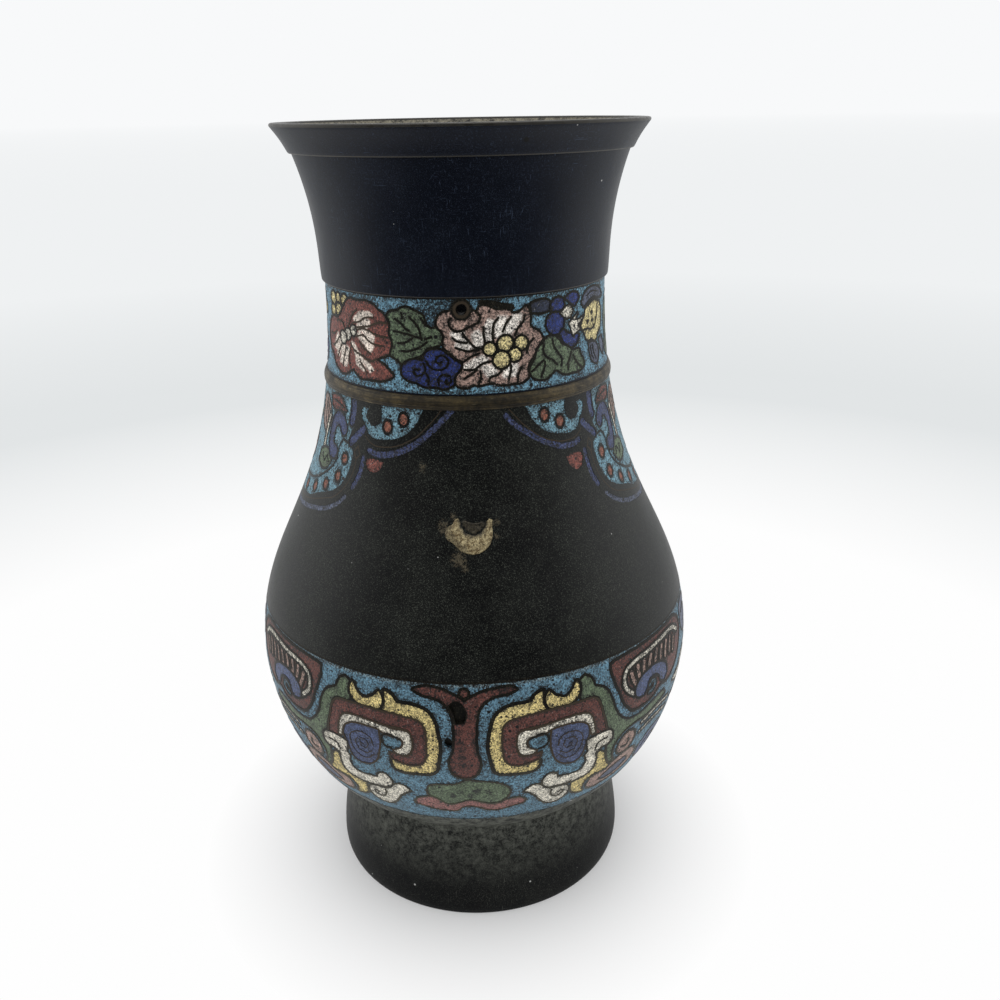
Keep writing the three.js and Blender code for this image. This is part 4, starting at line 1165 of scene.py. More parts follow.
def enamel(name, colour, grit, pale=None, scuffed=None):
    """Fired enamel: granular, clouded, pitted, and dark where grime fills the pits and the cell's edge

    Grit is the share of dark specks; scuffed gives two heights between which the enamel is rubbed pale.
    """
    recipe = Recipe(name)
    base = tuple(colour)
    if pale is not None:
        streak = recipe.span(recipe.noise(1.6, 3, 0.7), 0.3, 0.7, -0.35, 0.35)
        share = recipe.tint("pale")
        share = recipe.math("ADD", share, recipe.times(streak, recipe.span(share, 0.0, 0.3)))
        base = recipe.mix(recipe.span(share, 0.1, 0.9), base, tuple(pale))
    if scuffed:
        low, high = scuffed
        level = recipe.span(recipe.height(), low * MM, high * MM)
        rubbed = recipe.times(level, recipe.span(recipe.noise(0.9, 3, 0.8), 0.42, 0.58))
        base = recipe.mix(rubbed, base, linear(132, 150, 154))
    cloud = recipe.span(recipe.noise(3.4, 4, 0.75), 0.38, 0.62, 0.7, 1.16)
    grain = recipe.noise(0.7, 3, 0.9)
    base = recipe.scaled(base, recipe.times(cloud, recipe.span(grain, 0.41, 0.59, 0.38, 1.52)))
    fleck = recipe.times(recipe.span(recipe.noise(0.8, 2, 0.9), 0.64, 0.7), 0.35)
    base = recipe.mix(fleck, base, linear(196, 198, 190))
    edge = recipe.times(recipe.tint("edge"), 0.09)
    start = 0.53 + 0.15 * (1 - grit) ** 2
    level = recipe.math("ADD", recipe.noise(0.75, 3, 0.85, warp=0.3), edge)
    speck = recipe.times(recipe.span(level, start, start + 0.05), 0.95)
    base = recipe.mix(speck, base, DIRT)
    pits = recipe.math("MAXIMUM", recipe.spots(1.5, 0.36, 0.24), recipe.spots(3.2, 0.3, 0.2, 0.06))
    grime = recipe.tint("grime")
    patch = recipe.math("ADD", grime, recipe.span(recipe.noise(0.8, 4, 0.9), 0.38, 0.62, -1.1, 0.5))
    patch = recipe.times(recipe.span(patch, 0.3, 0.7), recipe.span(grime, 0.0, 0.2))
    black = recipe.math("MAXIMUM", pits, recipe.times(patch, 0.94))
    base = recipe.mix(black, base, (0.006, 0.006, 0.006))
    wave = recipe.relief(recipe.noise(2.2, 2), 0.10, 0.5)
    sink = recipe.math("SUBTRACT", recipe.times(grain, 0.3), recipe.math("MAXIMUM", speck, black))
    skin = recipe.relief(sink, 0.09, 0.8, wave)
    return recipe.finish(base, recipe.span(grain, 0.3, 0.7, 0.44, 0.6), skin, specular=0.4)


def patina(name, dark, light, speckle, gloss, dust, scratches=0.0, cast=0.03, sheen=0.2, levels=None,
           stain=None, pits=()):
    """Dark patinated bronze: fine speckle, clouds of wear, dust and scratches

    Speckle, dust and scratches are strengths, gloss is the least and greatest roughness, cast the depth of
    the grain in millimetres, and sheen the strength of reflections. Levels are heights and the share of the
    light colour at them; on the foot this gradient is painted shade, darker towards the bottom. Stain is the
    colour of the dirt marks. Pits are places in millimetres, each with a radius.
    """
    recipe = Recipe(name)
    cloud = recipe.span(recipe.noise(22, 5, 0.65), 0.4, 0.7)
    grain = recipe.noise(0.42, 2, 0.85)
    worn = recipe.math("ADD", recipe.times(cloud, 0.04), grain)
    fine = recipe.span(worn, 0.56, 0.7)
    base = recipe.mix(recipe.times(fine, speckle), tuple(dark), tuple(light))
    base = recipe.mix(recipe.times(cloud, 0.03), base, tuple(light))
    # Light colour blended in by height; on the foot this is painted shade, darker towards the bottom
    if levels:
        (low, few), (high, many) = levels
        share = recipe.span(recipe.height(), low * MM, high * MM, few, many)
        mottle = recipe.span(recipe.noise(3.6, 5, 0.9), 0.4, 0.64, 0.1, 2.0)
        base = recipe.mix(recipe.times(share, mottle), base, tuple(light))
    if scratches:
        lines = recipe.span(recipe.noise(0.5, 2, 0.5, squash=(1.0, 1.0, 0.06), warp=0.4), 0.64, 0.74)
        turned = recipe.span(recipe.noise(0.4, 2, 0.5, squash=(0.09, 0.09, 1.3), warp=0.6), 0.66, 0.76)
        where = recipe.span(recipe.noise(16, 3), 0.42, 0.62)
        marks = recipe.times(recipe.math("MAXIMUM", lines, turned), where)
        base = recipe.mix(recipe.times(marks, scratches), base, tuple(light))
    if stain:
        grime = recipe.tint("grime")
        patch = recipe.math("ADD", grime, recipe.span(recipe.noise(0.9, 4, 0.9), 0.38, 0.62, -0.9, 0.7))
        patch = recipe.times(recipe.span(patch, 0.45, 1.1), recipe.span(grime, 0.0, 0.3))
        base = recipe.mix(recipe.times(patch, 0.4), base, stain)
    for size, share, radius in ((5.2, 0.12, 0.05), (16, 0.7, 0.05)):
        specks = recipe.times(recipe.spots(size, share, radius, 0.2 / size), dust)
        base = recipe.mix(specks, base, (0.7, 0.7, 0.68))
    for place, radius in pits:
        spot = tuple(v * MM for v in place)
        reach = recipe.node("ShaderNodeVectorMath", {0: recipe.coords, 1: spot}, operation="DISTANCE")
        within = recipe.span(reach.outputs["Value"], radius * MM, 1.4 * radius * MM, 1.0, 0.0)
        base = recipe.mix(within, base, (0.0, 0.0, 0.0))
    skin = recipe.relief(recipe.noise(3.5, 3, 0.6), cast * 3, 0.35)
    skin = recipe.relief(recipe.noise(0.5, 3, 0.75), cast, 0.8, skin)
    rough = recipe.span(recipe.math("ADD", cloud, fine), 0, 2, *gloss)
    return recipe.finish(base, rough, skin, specular=sheen)


class VaseStageSettings(bpy.types.PropertyGroup):
    """Camera and light of the stage"""
    focal: FloatProperty(name="Focal length", description="Lens of the camera in millimetres", default=34.97)
    distance: FloatProperty(name="Distance", description="Camera's distance from the vase's axis",
                            default=0.3697, unit="LENGTH")
    lens_height: FloatProperty(name="Lens height", description="Camera's height over the standing face",
                               default=0.3096, unit="LENGTH")
    around: FloatProperty(name="Around", description="Camera's turn round the vase from its front",
                          default=math.radians(1.9), subtype="ANGLE")
    heading: FloatProperty(name="Heading", description="Turn of the view from straight ahead",
                           default=math.radians(-0.115), subtype="ANGLE")
    pitch: FloatProperty(name="Pitch", description="Downward tilt of the camera",
                         default=math.radians(22.155), subtype="ANGLE")
    roll: FloatProperty(name="Roll", description="Turn of the camera about its view axis",
                        default=math.radians(1.0), subtype="ANGLE")
    side_light: FloatProperty(name="Side light", description="Power of each side lamp in watts", default=1.2)
    top_light: FloatProperty(name="Top light", description="Power of the lamp overhead in watts", default=3.5)
    room: FloatProperty(name="Room light", description="Strength of the room's light", default=0.72)


def colour_property(name, red, green, blue):
    return FloatVectorProperty(name=name, description=f"Colour of the {name.lower()}", subtype="COLOR",
                               size=3, min=0.0, max=1.0, default=linear(red, green, blue))


class VaseColours(bpy.types.PropertyGroup):
    """Colours of the enamels and of the bronze"""
    turquoise: colour_property("Turquoise enamel", 106, 150, 172)
    shoulder_turquoise: colour_property("Turquoise of the lappets", 112, 152, 168)
    belly_turquoise: colour_property("Turquoise of the mask band", 94, 132, 152)
    red: colour_property("Red enamel", 126, 70, 60)
    belly_red: colour_property("Red of the mask band", 104, 60, 52)
    pink: colour_property("Pink enamel", 166, 138, 126)
    green: colour_property("Green enamel", 94, 110, 84)
    blue: colour_property("Blue enamel", 32, 50, 116)
    belly_blue: colour_property("Blue of the mask band", 74, 86, 120)
    shoulder_blue: colour_property("Blue of the lappets", 60, 70, 108)
    yellow: colour_property("Yellow enamel", 224, 208, 150)
    white: colour_property("White enamel", 224, 218, 202)
    lilac: colour_property("Lilac enamel", 84, 92, 114)
    belly_rust: colour_property("Moustache of the mask", 146, 100, 94)
    belly_yellow: colour_property("Yellow of the mask band", 220, 200, 134)
    slate: colour_property("Slate enamel", 44, 51, 70)
    rust: colour_property("Rust enamel", 136, 84, 66)
    neck_bronze: colour_property("Neck bronze", 3, 9, 24)
    body_bronze: colour_property("Body bronze", 5, 6, 7)
    foot_bronze: colour_property("Foot bronze", 5, 6, 8)
    wall_bronze: colour_property("Cell walls", 14, 13, 10)
    brown_bronze: colour_property("Rubbed cell walls", 62, 52, 40)
    worn_bronze: colour_property("Worn bronze", 60, 57, 52)
    solder: colour_property("Solder", 206, 190, 146)


ENAMELS = {TURQUOISE: "turquoise", RED: "red", PINK: "pink", GREEN: "green", BLUE: "blue", YELLOW: "yellow",
           WHITE: "white", LILAC: "lilac", SLATE: "slate", RUST: "rust"}
SLOTS = {TURQUOISE: "enamel_turquoise", RED: "enamel_red", PINK: "enamel_pink", GREEN: "enamel_green",
         BLUE: "enamel_blue", YELLOW: "enamel_yellow", WHITE: "enamel_pink", LILAC: "enamel_blue",
         SLATE: "enamel_blue", RUST: "enamel_red"}
# Share of dark specks in an enamel, where it isn't the usual one
USUAL_GRIT = 0.45
GRIT = {"neck_turquoise": 0.8, "neck_pink": 0.7, "neck_red": 0.6, "neck_blue": 0.6, "neck_yellow": 0.6,
        "neck_white": 0.6, "shoulder_turquoise": 0.75, "shoulder_red": 0.6, "shoulder_blue": 0.5,
        "belly_turquoise": 0.75, "belly_red": 0.7, "belly_green": 0.5, "belly_blue": 0.3, "belly_yellow": 0.6,
        "belly_white": 0.5}
# Colours that petals fade to
PALE = {"pink": linear(240, 232, 222), "red": linear(234, 220, 206)}
# Heights between which the upper edge of the mask band is rubbed
SCUFFED = (124.4, 125.6)
# Casting pits in the lip and in the neck below it: place on the front and radius
LIP_PITS = (((21.5, -60.2, 299.6), 0.75), ((37.4, -41.7, 270.5), 0.5))
# Light metal that shows through each patina, and the settings of the patina; the foot's levels paint shade
PATINAS = {
    "neck_bronze": (linear(62, 76, 98), {
        "speckle": 0.25, "gloss": (0.4, 0.5), "scratches": 0.6, "dust": 0.8, "sheen": 0.22,
        "pits": LIP_PITS}),
    "body_bronze": (linear(124, 130, 116), {
        "speckle": 0.3, "gloss": (0.42, 0.54), "scratches": 0.1, "dust": 1.0, "cast": 0.05, "sheen": 0.24,
        "stain": linear(124, 112, 88)}),
    # The foot's levels are painted shade: darker towards the bottom, under the belly
    "foot_bronze": (linear(108, 110, 102), {
        "speckle": 0.3, "gloss": (0.42, 0.56), "scratches": 0.3, "dust": 0.8, "cast": 0.05, "sheen": 0.08,
        "levels": ((13, 0.0), (50, 0.62))}),
    "wall_bronze": (linear(104, 98, 78), {
        "speckle": 0.35, "gloss": (0.45, 0.6), "dust": 0.2, "cast": 0.04, "levels": ((66, 0.4), (100, 0.0))}),
    "brown_bronze": (linear(22, 20, 16), {"speckle": 0.7, "gloss": (0.45, 0.6), "dust": 0.2, "cast": 0.04}),
    "inside_bronze": (linear(150, 144, 126), {
        "speckle": 0.3, "gloss": (0.45, 0.6), "dust": 0.6, "levels": ((292, 0.0), (301, 0.62))}),
}
FINISHES = {}


def new_finish(name):
    """Material by its plain name; the inside has the neck's dark colour"""
    colours = bpy.context.scene.vase_colours
    kind = name.split("_")[-1]
    if kind in ENAMELS.values():
        colour = getattr(colours, name, getattr(colours, kind))
        scuffed = SCUFFED if name == "belly_turquoise" else None
        return enamel(f"{name}_enamel", colour, GRIT.get(name, USUAL_GRIT), PALE.get(kind), scuffed)
    if name == "worn_bronze":
        return worn_metal(name, colours.worn_bronze)
    if name == "ring_bronze":
        return grooved_metal(name)
    if name == "solder":
        return solder_metal("solder_metal", colours.solder)
    light, settings = PATINAS[name]
    return patina(name, getattr(colours, name, colours.neck_bronze), light, **settings)


def finish(name):
    """Material by its plain name, made once"""
    if name not in FINISHES:
        FINISHES[name] = new_finish(name)
    return FINISHES[name]


def worn_metal(name, colour):
    """Bronze rubbed bright on an edge"""
    recipe = Recipe(name)
    wear = recipe.span(recipe.noise(3.0, 4, 0.7), 0.36, 0.64)
    base = recipe.mix(wear, (0.03, 0.028, 0.024), tuple(colour))
    rough = recipe.span(wear, 0, 1, 0.5, 0.36)
    skin = recipe.relief(recipe.noise(0.7, 3, 0.7), 0.05, 0.7)
    return recipe.finish(base, rough, skin, metallic=recipe.span(wear, 0, 1, 0.2, 0.75))


def grooved_metal(name):
    """Olive brown bronze of the waist ring: long streaks that are rubbed metal and painted highlights,
    painted glints, one turned line and dirt
    """
    recipe = Recipe(name)
    level = recipe.math("ADD", recipe.height(), recipe.times(recipe.noise(14, 2), 0.5 * MM))
    line = recipe.math("ABSOLUTE", recipe.math("SUBTRACT", level, (WAIST_HEIGHT + 1.35) * MM))
    line = recipe.span(line, 0.05 * MM, 0.3 * MM)
    wear = recipe.span(recipe.noise(8, 4, 0.75), 0.38, 0.64, 0.15, 1.0)
    # Painted highlights: long horizontal streaks of lighter metal, which are also rubbing
    streak = recipe.span(recipe.noise(1.1, 4, 0.85, squash=(0.09, 0.09, 1.6)), 0.4, 0.6, 0.3, 1.0)
    tone_and_highlight = recipe.times(recipe.times(recipe.span(line, 0, 1, 0.4, 1.0), wear), streak)
    base = recipe.mix(tone_and_highlight, linear(18, 16, 11), linear(94, 80, 50))
    grit = recipe.span(recipe.noise(0.7, 3, 0.9), 0.56, 0.64)
    base = recipe.mix(recipe.times(grit, 0.8), base, DIRT)
    glint = recipe.span(recipe.noise(0.6, 2, 0.8, squash=(0.12, 0.12, 2)), 0.66, 0.74)
    base = recipe.mix(recipe.times(glint, 0.6), base, linear(150, 140, 110))
    skin = recipe.relief(line, 0.15, 0.7)
    skin = recipe.relief(recipe.noise(0.6, 2), 0.05, 0.7, skin)
    return recipe.finish(base, recipe.span(tone_and_highlight, 0, 1, 0.55, 0.4), skin, metallic=0.35)


def solder_metal(name, colour):
    """Dull pale solder, dark in its hollow, stained at its edges and darkened round its rim by painted shadow
    """
    recipe = Recipe(name)
    stain = recipe.span(recipe.noise(1.1, 4, 0.8), 0.4, 0.6)
    base = recipe.mix(stain, linear(104, 84, 50), tuple(colour))
    # The scar's pale tint darkens the hollow, and the rim as painted shadow
    base = recipe.mix(recipe.tint("pale"), linear(16, 15, 10), base)
    fleck = recipe.span(recipe.noise(0.6, 3, 0.9), 0.5, 0.62)
    base = recipe.mix(recipe.times(fleck, 0.85), base, linear(38, 32, 22))
    skin = recipe.relief(recipe.noise(1.0, 4, 0.8), 0.25, 0.9)
    return recipe.finish(base, recipe.span(stain, 0, 1, 0.62, 0.5), skin, metallic=0.2)


# Pieces

TOP_DEPTH = 0.1
FLOOR_DEPTH = 1.4
INLAY_DEPTH = 1.3


def add_skin(maker, band, slot, worn_slot):
    """The outside of a casting over a band: bronze at the surface and pockets under the enamel

    Slot is the number of the bronze's material, and worn_slot that of the rubbed bronze of thin walls.
    """
    bronze = (band.colour == BRONZE) | (band.colour == WORN)
    hole = band.colour == HOLE
    pocket = ~bronze & ~hole
    edge, other = band.borders(bronze)
    to_pocket = edge[(other >= 0) & ~hole[other]]
    to_hole = edge[(other >= 0) & hole[other]]
    edge, other = band.borders(pocket)
    from_rim = edge[other < 0][:, ::-1]
    count = len(band.points)
    for top, floor, inner in zip(band.wrapped(0.0), band.wrapped(FLOOR_DEPTH), band.wrapped(WALL)):
        maker.add(top, band.faces[band.colour == BRONZE], slot, grime=band.grime)
        maker.add(top, band.faces[band.colour == WORN], worn_slot)
        maker.add(floor, band.faces[pocket], slot)
        for ends, low in ((to_pocket, floor), (from_rim, floor), (to_hole, inner)):
            if len(ends):
                quads = np.column_stack([ends[:, 1], ends[:, 0], ends[:, 0] + count, ends[:, 1] + count])
                maker.add(np.vstack([top, low]), quads, slot)


def enamel_pieces(prefix, band, nodes):
    """One closed piece of enamel for each colour of a band; nodes are the solids that a colour stands for"""
    for colour, name in ENAMELS.items():
        mine = band.colour == colour
        if not mine.any():
            continue
        maker = Maker()
        edge, _ = band.borders(mine)
        rim = np.zeros(len(band.points))
        rim[edge.ravel()] = 1.0
        grime = band.grime * (colour not in band.clean)
        count = len(band.points)
        for top, low in zip(band.wrapped(TOP_DEPTH), band.wrapped(INLAY_DEPTH)):
            both = np.vstack([top, low])
            tints = {"pale": np.tile(band.pale, 2), "grime": np.tile(grime, 2), "edge": np.tile(rim, 2)}
            maker.add(both, band.faces[mine], 0, **tints)
            maker.add(both, band.faces[mine][:, ::-1] + count, 0, **tints)
            quads = np.column_stack([edge[:, 1], edge[:, 0], edge[:, 0] + count, edge[:, 1] + count])
            maker.add(both, quads, 0, **tints)
        piece = maker.build(f"{prefix}_{name}_enamel", [finish(f"{prefix}_{name}")])
        true_normals(piece)
        settle(piece, SLOTS[colour], *nodes.get(name, ()))


class VASE_OT_foot(bpy.types.Operator):
    """Turns the foot ring and the base plate soldered inside it"""
    bl_idname = "vase.foot"
    bl_label = "Foot"

    def execute(self, context):
        ring = Maker()
        seat = on_line(FOOT_LINE, PLATE_HEIGHT) - FOOT_WALL
        under = PLATE_HEIGHT - PLATE_THICKNESS
        profile = [(FOOT_RADIUS - FOOT_WALL, 0.0), (FOOT_RADIUS - 0.5, 0.0), (FOOT_RADIUS - 0.1, 0.15)]
        profile += [(r, z) for r, z in rows(FOOT_LINE, 0.5, FOOT_HEIGHT - 0.6, 1.2)]
        profile += [(FOOT_TOP_RADIUS - 0.25, FOOT_HEIGHT - 0.15), (FOOT_TOP_RADIUS - 0.6, FOOT_HEIGHT),
                    (FOOT_TOP_RADIUS - FOOT_WALL, FOOT_HEIGHT), (seat, PLATE_HEIGHT + PLATE_THICKNESS),
                    (seat, PLATE_HEIGHT), (seat - PLATE_LEDGE, PLATE_HEIGHT), (seat - PLATE_LEDGE, under),
                    (seat, under), (FOOT_RADIUS - FOOT_WALL, 0.0)]
        ring.lathe(profile)
        piece = ring.build("foot_ring_casting", [finish("foot_bronze")])
        settle(piece, "bronze_foot", "foot_ring")
        plate = Maker()
        edge = seat - PLATE_GAP
        top = PLATE_HEIGHT + PLATE_THICKNESS - PLATE_GAP
        plate.lathe([(0.0, PLATE_HEIGHT), (edge - 0.4, PLATE_HEIGHT), (edge, PLATE_HEIGHT + 0.4),
                     (edge, top - 0.4), (edge - 0.4, top), (0.0, top)])
        piece = plate.build("base_plate_disc", [finish("inside_bronze")])
        settle(piece, "bronze_base", "base_plate")
        return {"FINISHED"}


class VASE_OT_body(bpy.types.Operator):
    """Casts the body with the cells of the shoulder and the mask band"""
    bl_idname = "vase.body"
    bl_label = "Body"

    def execute(self, context):
        maker = Maker()
        spigot = SOCKET_RADIUS - JOINT_GAP
        bore = spigot - SPIGOT_WALL
        maker.lathe([(FOOT_TOP_RADIUS - FOOT_WALL, FOOT_HEIGHT), (BODY_FOOT_RADIUS - 0.4, FOOT_HEIGHT)]
                    + rows(BODY_LINE, FOOT_HEIGHT + 0.3, BELLY_BAND[0], 1.0), 4)
        add_skin(maker, sheet("belly"), 1, 3)
        maker.lathe(rows(BODY_LINE, BELLY_BAND[1], SHOULDER_BAND[0], 1.6), 0)
        add_skin(maker, sheet("shoulder"), 0, 3)
        maker.lathe([(body_radius(WAIST_HEIGHT), WAIST_HEIGHT), (spigot, WAIST_HEIGHT), (spigot, SPIGOT_TOP),
                     (bore, SPIGOT_TOP), (bore, WAIST_HEIGHT)]
                    + rows(BODY_LINE, WAIST_HEIGHT - WALL, FOOT_HEIGHT + 10, 2.5, WALL)
                    + [(FOOT_TOP_RADIUS - FOOT_WALL, FOOT_HEIGHT)], 2)
        metals = ("body_bronze", "wall_bronze", "inside_bronze", "brown_bronze", "foot_bronze")
        piece = maker.build("body_casting_shell", [finish(metal) for metal in metals])
        true_normals(piece)
        settle(piece, "bronze_body", "body_casting")
        return {"FINISHED"}


class VASE_OT_waist_ring(bpy.types.Operator):
    """Turns the moulding over the joint of body and neck"""
    bl_idname = "vase.waist_ring"
    bl_label = "Waist ring"

    def execute(self, context):
        proud, swell = 0.55, 0.35
        low = float(body_radius(WAIST_HEIGHT)) + proud
        high = float(body_radius(RING_TOP)) + proud
        maker = Maker()
        middle = [(low + (high - low) * t + swell * math.sin(math.pi * t), WAIST_HEIGHT + 0.7 + t * 3.5)
                  for t in np.linspace(0, 1, 15)]
        maker.lathe([(SOCKET_RADIUS, WAIST_HEIGHT), (low - 0.7, WAIST_HEIGHT),
                     (low - 0.2, WAIST_HEIGHT + 0.2)]
                    + middle
                    + [(high - 0.2, RING_TOP - 0.2), (high - 0.7, RING_TOP), (SOCKET_RADIUS, RING_TOP),
                       (SOCKET_RADIUS, WAIST_HEIGHT)])
        piece = maker.build("waist_ring_moulding", [finish("ring_bronze")])
        settle(piece, "bronze_ring", "waist_ring")
        return {"FINISHED"}


class VASE_OT_neck(bpy.types.Operator):
    """Casts the neck with the cells of the flower band, its flaring mouth and the everted lip"""
    bl_idname = "vase.neck"
    bl_label = "Neck"

    def execute(self, context):
        plain, walls, worn, inside, brown = range(5)
        metals = ("neck_bronze", "wall_bronze", "worn_bronze", "inside_bronze", "brown_bronze")
        maker = Maker()
        self.collar(maker, plain, walls, worn, brown)
        self.lip(maker, plain, worn)
        self.lining(maker, inside)
        piece = maker.build("neck_casting_shell", [finish(metal) for metal in metals])
        true_normals(piece)
        settle(piece, "bronze_neck", "neck_casting")
        return {"FINISHED"}

    @staticmethod
    def collar(maker, plain, walls, worn, brown):
        """The socket's mouth, the flower band and the collar over it, rubbed on its lower edge"""
        bottom, top = NECK_BAND
        maker.lathe([(SOCKET_RADIUS, SOCKET_TOP), (SOCKET_RADIUS, RING_TOP),
                     (body_radius(RING_TOP), RING_TOP), (body_radius(bottom), bottom)], plain)
        add_skin(maker, sheet("neck"), walls, brown)
        maker.lathe([(body_radius(top), top), (THROAT_RADIUS, COLLAR_HEIGHT - 0.1),
                     (COLLAR_RADIUS - 0.25, COLLAR_HEIGHT)], plain)
        maker.lathe([(COLLAR_RADIUS - 0.25, COLLAR_HEIGHT), (COLLAR_RADIUS, COLLAR_HEIGHT + 0.3)], worn)

    @staticmethod
    def lip(maker, plain, worn):
        """The flaring mouth and the lip, which is rubbed on its lower edge and on its rim"""
        lip = LIP_LOW_RADIUS + LIP_LEDGE
        slant_bottom, slant_top = LIP_BOTTOM + 0.4, HEIGHT - 1.1
        slant = [(lip + t * (RIM_RADIUS - LIP_LOW_RADIUS - LIP_LEDGE - 0.1) - 0.35 * math.sin(math.pi * t),
                  slant_bottom + t * (slant_top - LIP_BOTTOM - 0.4)) for t in np.linspace(0.1, 1, 9)]
        bore = RIM_RADIUS - RIM_WIDTH
        maker.lathe([(COLLAR_RADIUS, COLLAR_HEIGHT + 0.3)]
                    + rows(MOUTH_LINE, COLLAR_HEIGHT + 0.6, LIP_BOTTOM - 0.5, 1.2)
                    + [(LIP_LOW_RADIUS, LIP_BOTTOM), (lip - 0.3, LIP_BOTTOM + 0.05)], plain)
        maker.lathe([(lip - 0.3, LIP_BOTTOM + 0.05), (lip, slant_bottom)], worn)
        maker.lathe([(lip, slant_bottom)] + slant, plain)
        maker.lathe([(RIM_RADIUS - 0.1, slant_top), (RIM_RADIUS, HEIGHT - 0.8),
                     (RIM_RADIUS - 0.05, HEIGHT - 0.4), (RIM_RADIUS - 0.3, HEIGHT - 0.1),
                     (RIM_RADIUS - 0.7, HEIGHT), (bore + 0.7, HEIGHT), (bore + 0.2, HEIGHT - 0.2),
                     (bore, HEIGHT - 0.7)], worn)

    @staticmethod
    def lining(maker, inside):
        """The inside of mouth and neck, with the pin holes left open"""
        top = NECK_BAND[1]
        plug = Pattern(NECK_RULER, NECK_TURN, (SOCKET_TOP, top), NECK_FACET, ground=BRONZE)
        plug.add(HOLE, circle(PIN_HOLE, PIN_RADIUS, 24), False)
        lining = Sheet(plug, 4.0)
        for place in lining.wrapped(WALL):
            maker.add(place, lining.faces[lining.colour == BRONZE][:, ::-1], inside)
        maker.lathe([(RIM_RADIUS - RIM_WIDTH, HEIGHT - 0.7), (LIP_LOW_RADIUS - WALL + 1, LIP_BOTTOM + 2)]
                    + rows(MOUTH_LINE, LIP_BOTTOM - 0.5, COLLAR_HEIGHT + 0.5, 2.0, WALL)
                    + [(body_radius(top) - WALL, top)], inside)
        maker.lathe([(body_radius(SOCKET_TOP) - WALL, SOCKET_TOP), (SOCKET_RADIUS, SOCKET_TOP)], inside)


def nodes_of(*patterns):
    return [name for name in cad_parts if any(part in name for part in patterns)]


class VASE_OT_neck_enamel(bpy.types.Operator):
    """Fills the cells of the flower band"""
    bl_idname = "vase.neck_enamel"
    bl_label = "Neck enamel"

    def execute(self, context):
        enamel_pieces("neck", sheet("neck"), {
            "turquoise": ["neck_ground"], "red": nodes_of("red_peony"), "pink": nodes_of("pink_peony"),
            "green": nodes_of("right_leaf"), "blue": nodes_of("blue_cloud", "blue_flower")})
        return {"FINISHED"}


class VASE_OT_shoulder_enamel(bpy.types.Operator):
    """Fills the cells of the shoulder lappets"""
    bl_idname = "vase.shoulder_enamel"
    bl_label = "Shoulder enamel"

    def execute(self, context):
        enamel_pieces("shoulder", sheet("shoulder"), {"turquoise": nodes_of("lappet_")})
        return {"FINISHED"}


class VASE_OT_belly_enamel(bpy.types.Operator):
    """Fills the cells of the mask band"""
    bl_idname = "vase.belly_enamel"
    bl_label = "Belly enamel"

    def execute(self, context):
        enamel_pieces("belly", sheet("belly"), {
            "turquoise": ["belly_ground"], "red": nodes_of("_nose"), "yellow": nodes_of("eye_frame"),
            "green": nodes_of("brow"), "blue": nodes_of("pupil")})
        return {"FINISHED"}


class VASE_OT_scars(bpy.types.Operator):
    """Models the solder that the lost handles left on the shoulder"""
    bl_idname = "vase.scars"
    bl_label = "Handle scars"

    def execute(self, context):
        for side, half in (("front", 0.0), ("back", math.pi)):
            piece = scar(f"handle_scar_{side}_solder", half)
            settle(piece, "solder", f"handle_scar_{side}")
        return {"FINISHED"}


SCAR_OUTLINE = [(-4.8, 178.3), (-5.3, 177), (-7.2, 175.8), (-8.4, 173.8), (-7.4, 171.6), (-5, 170.2),
                (-3.1, 168.5), (-0.6, 167.2), (2.4, 166.8), (5.2, 167.3), (7.6, 168.8), (9.2, 171),
                (9.9, 173.5), (9.8, 176), (10.1, 177.8), (8.8, 178.5), (7.6, 177.4), (6.2, 177.7),
                (4.4, 177.3), (1.6, 177.4), (-0.8, 178.2), (-2.4, 177.7), (-3.4, 178.8)]
SCAR_CENTRE = np.array([2.4, 173.4])
SCAR_HOLLOW = (2.5, 177.4)
SCAR_DEPTH = 1.0


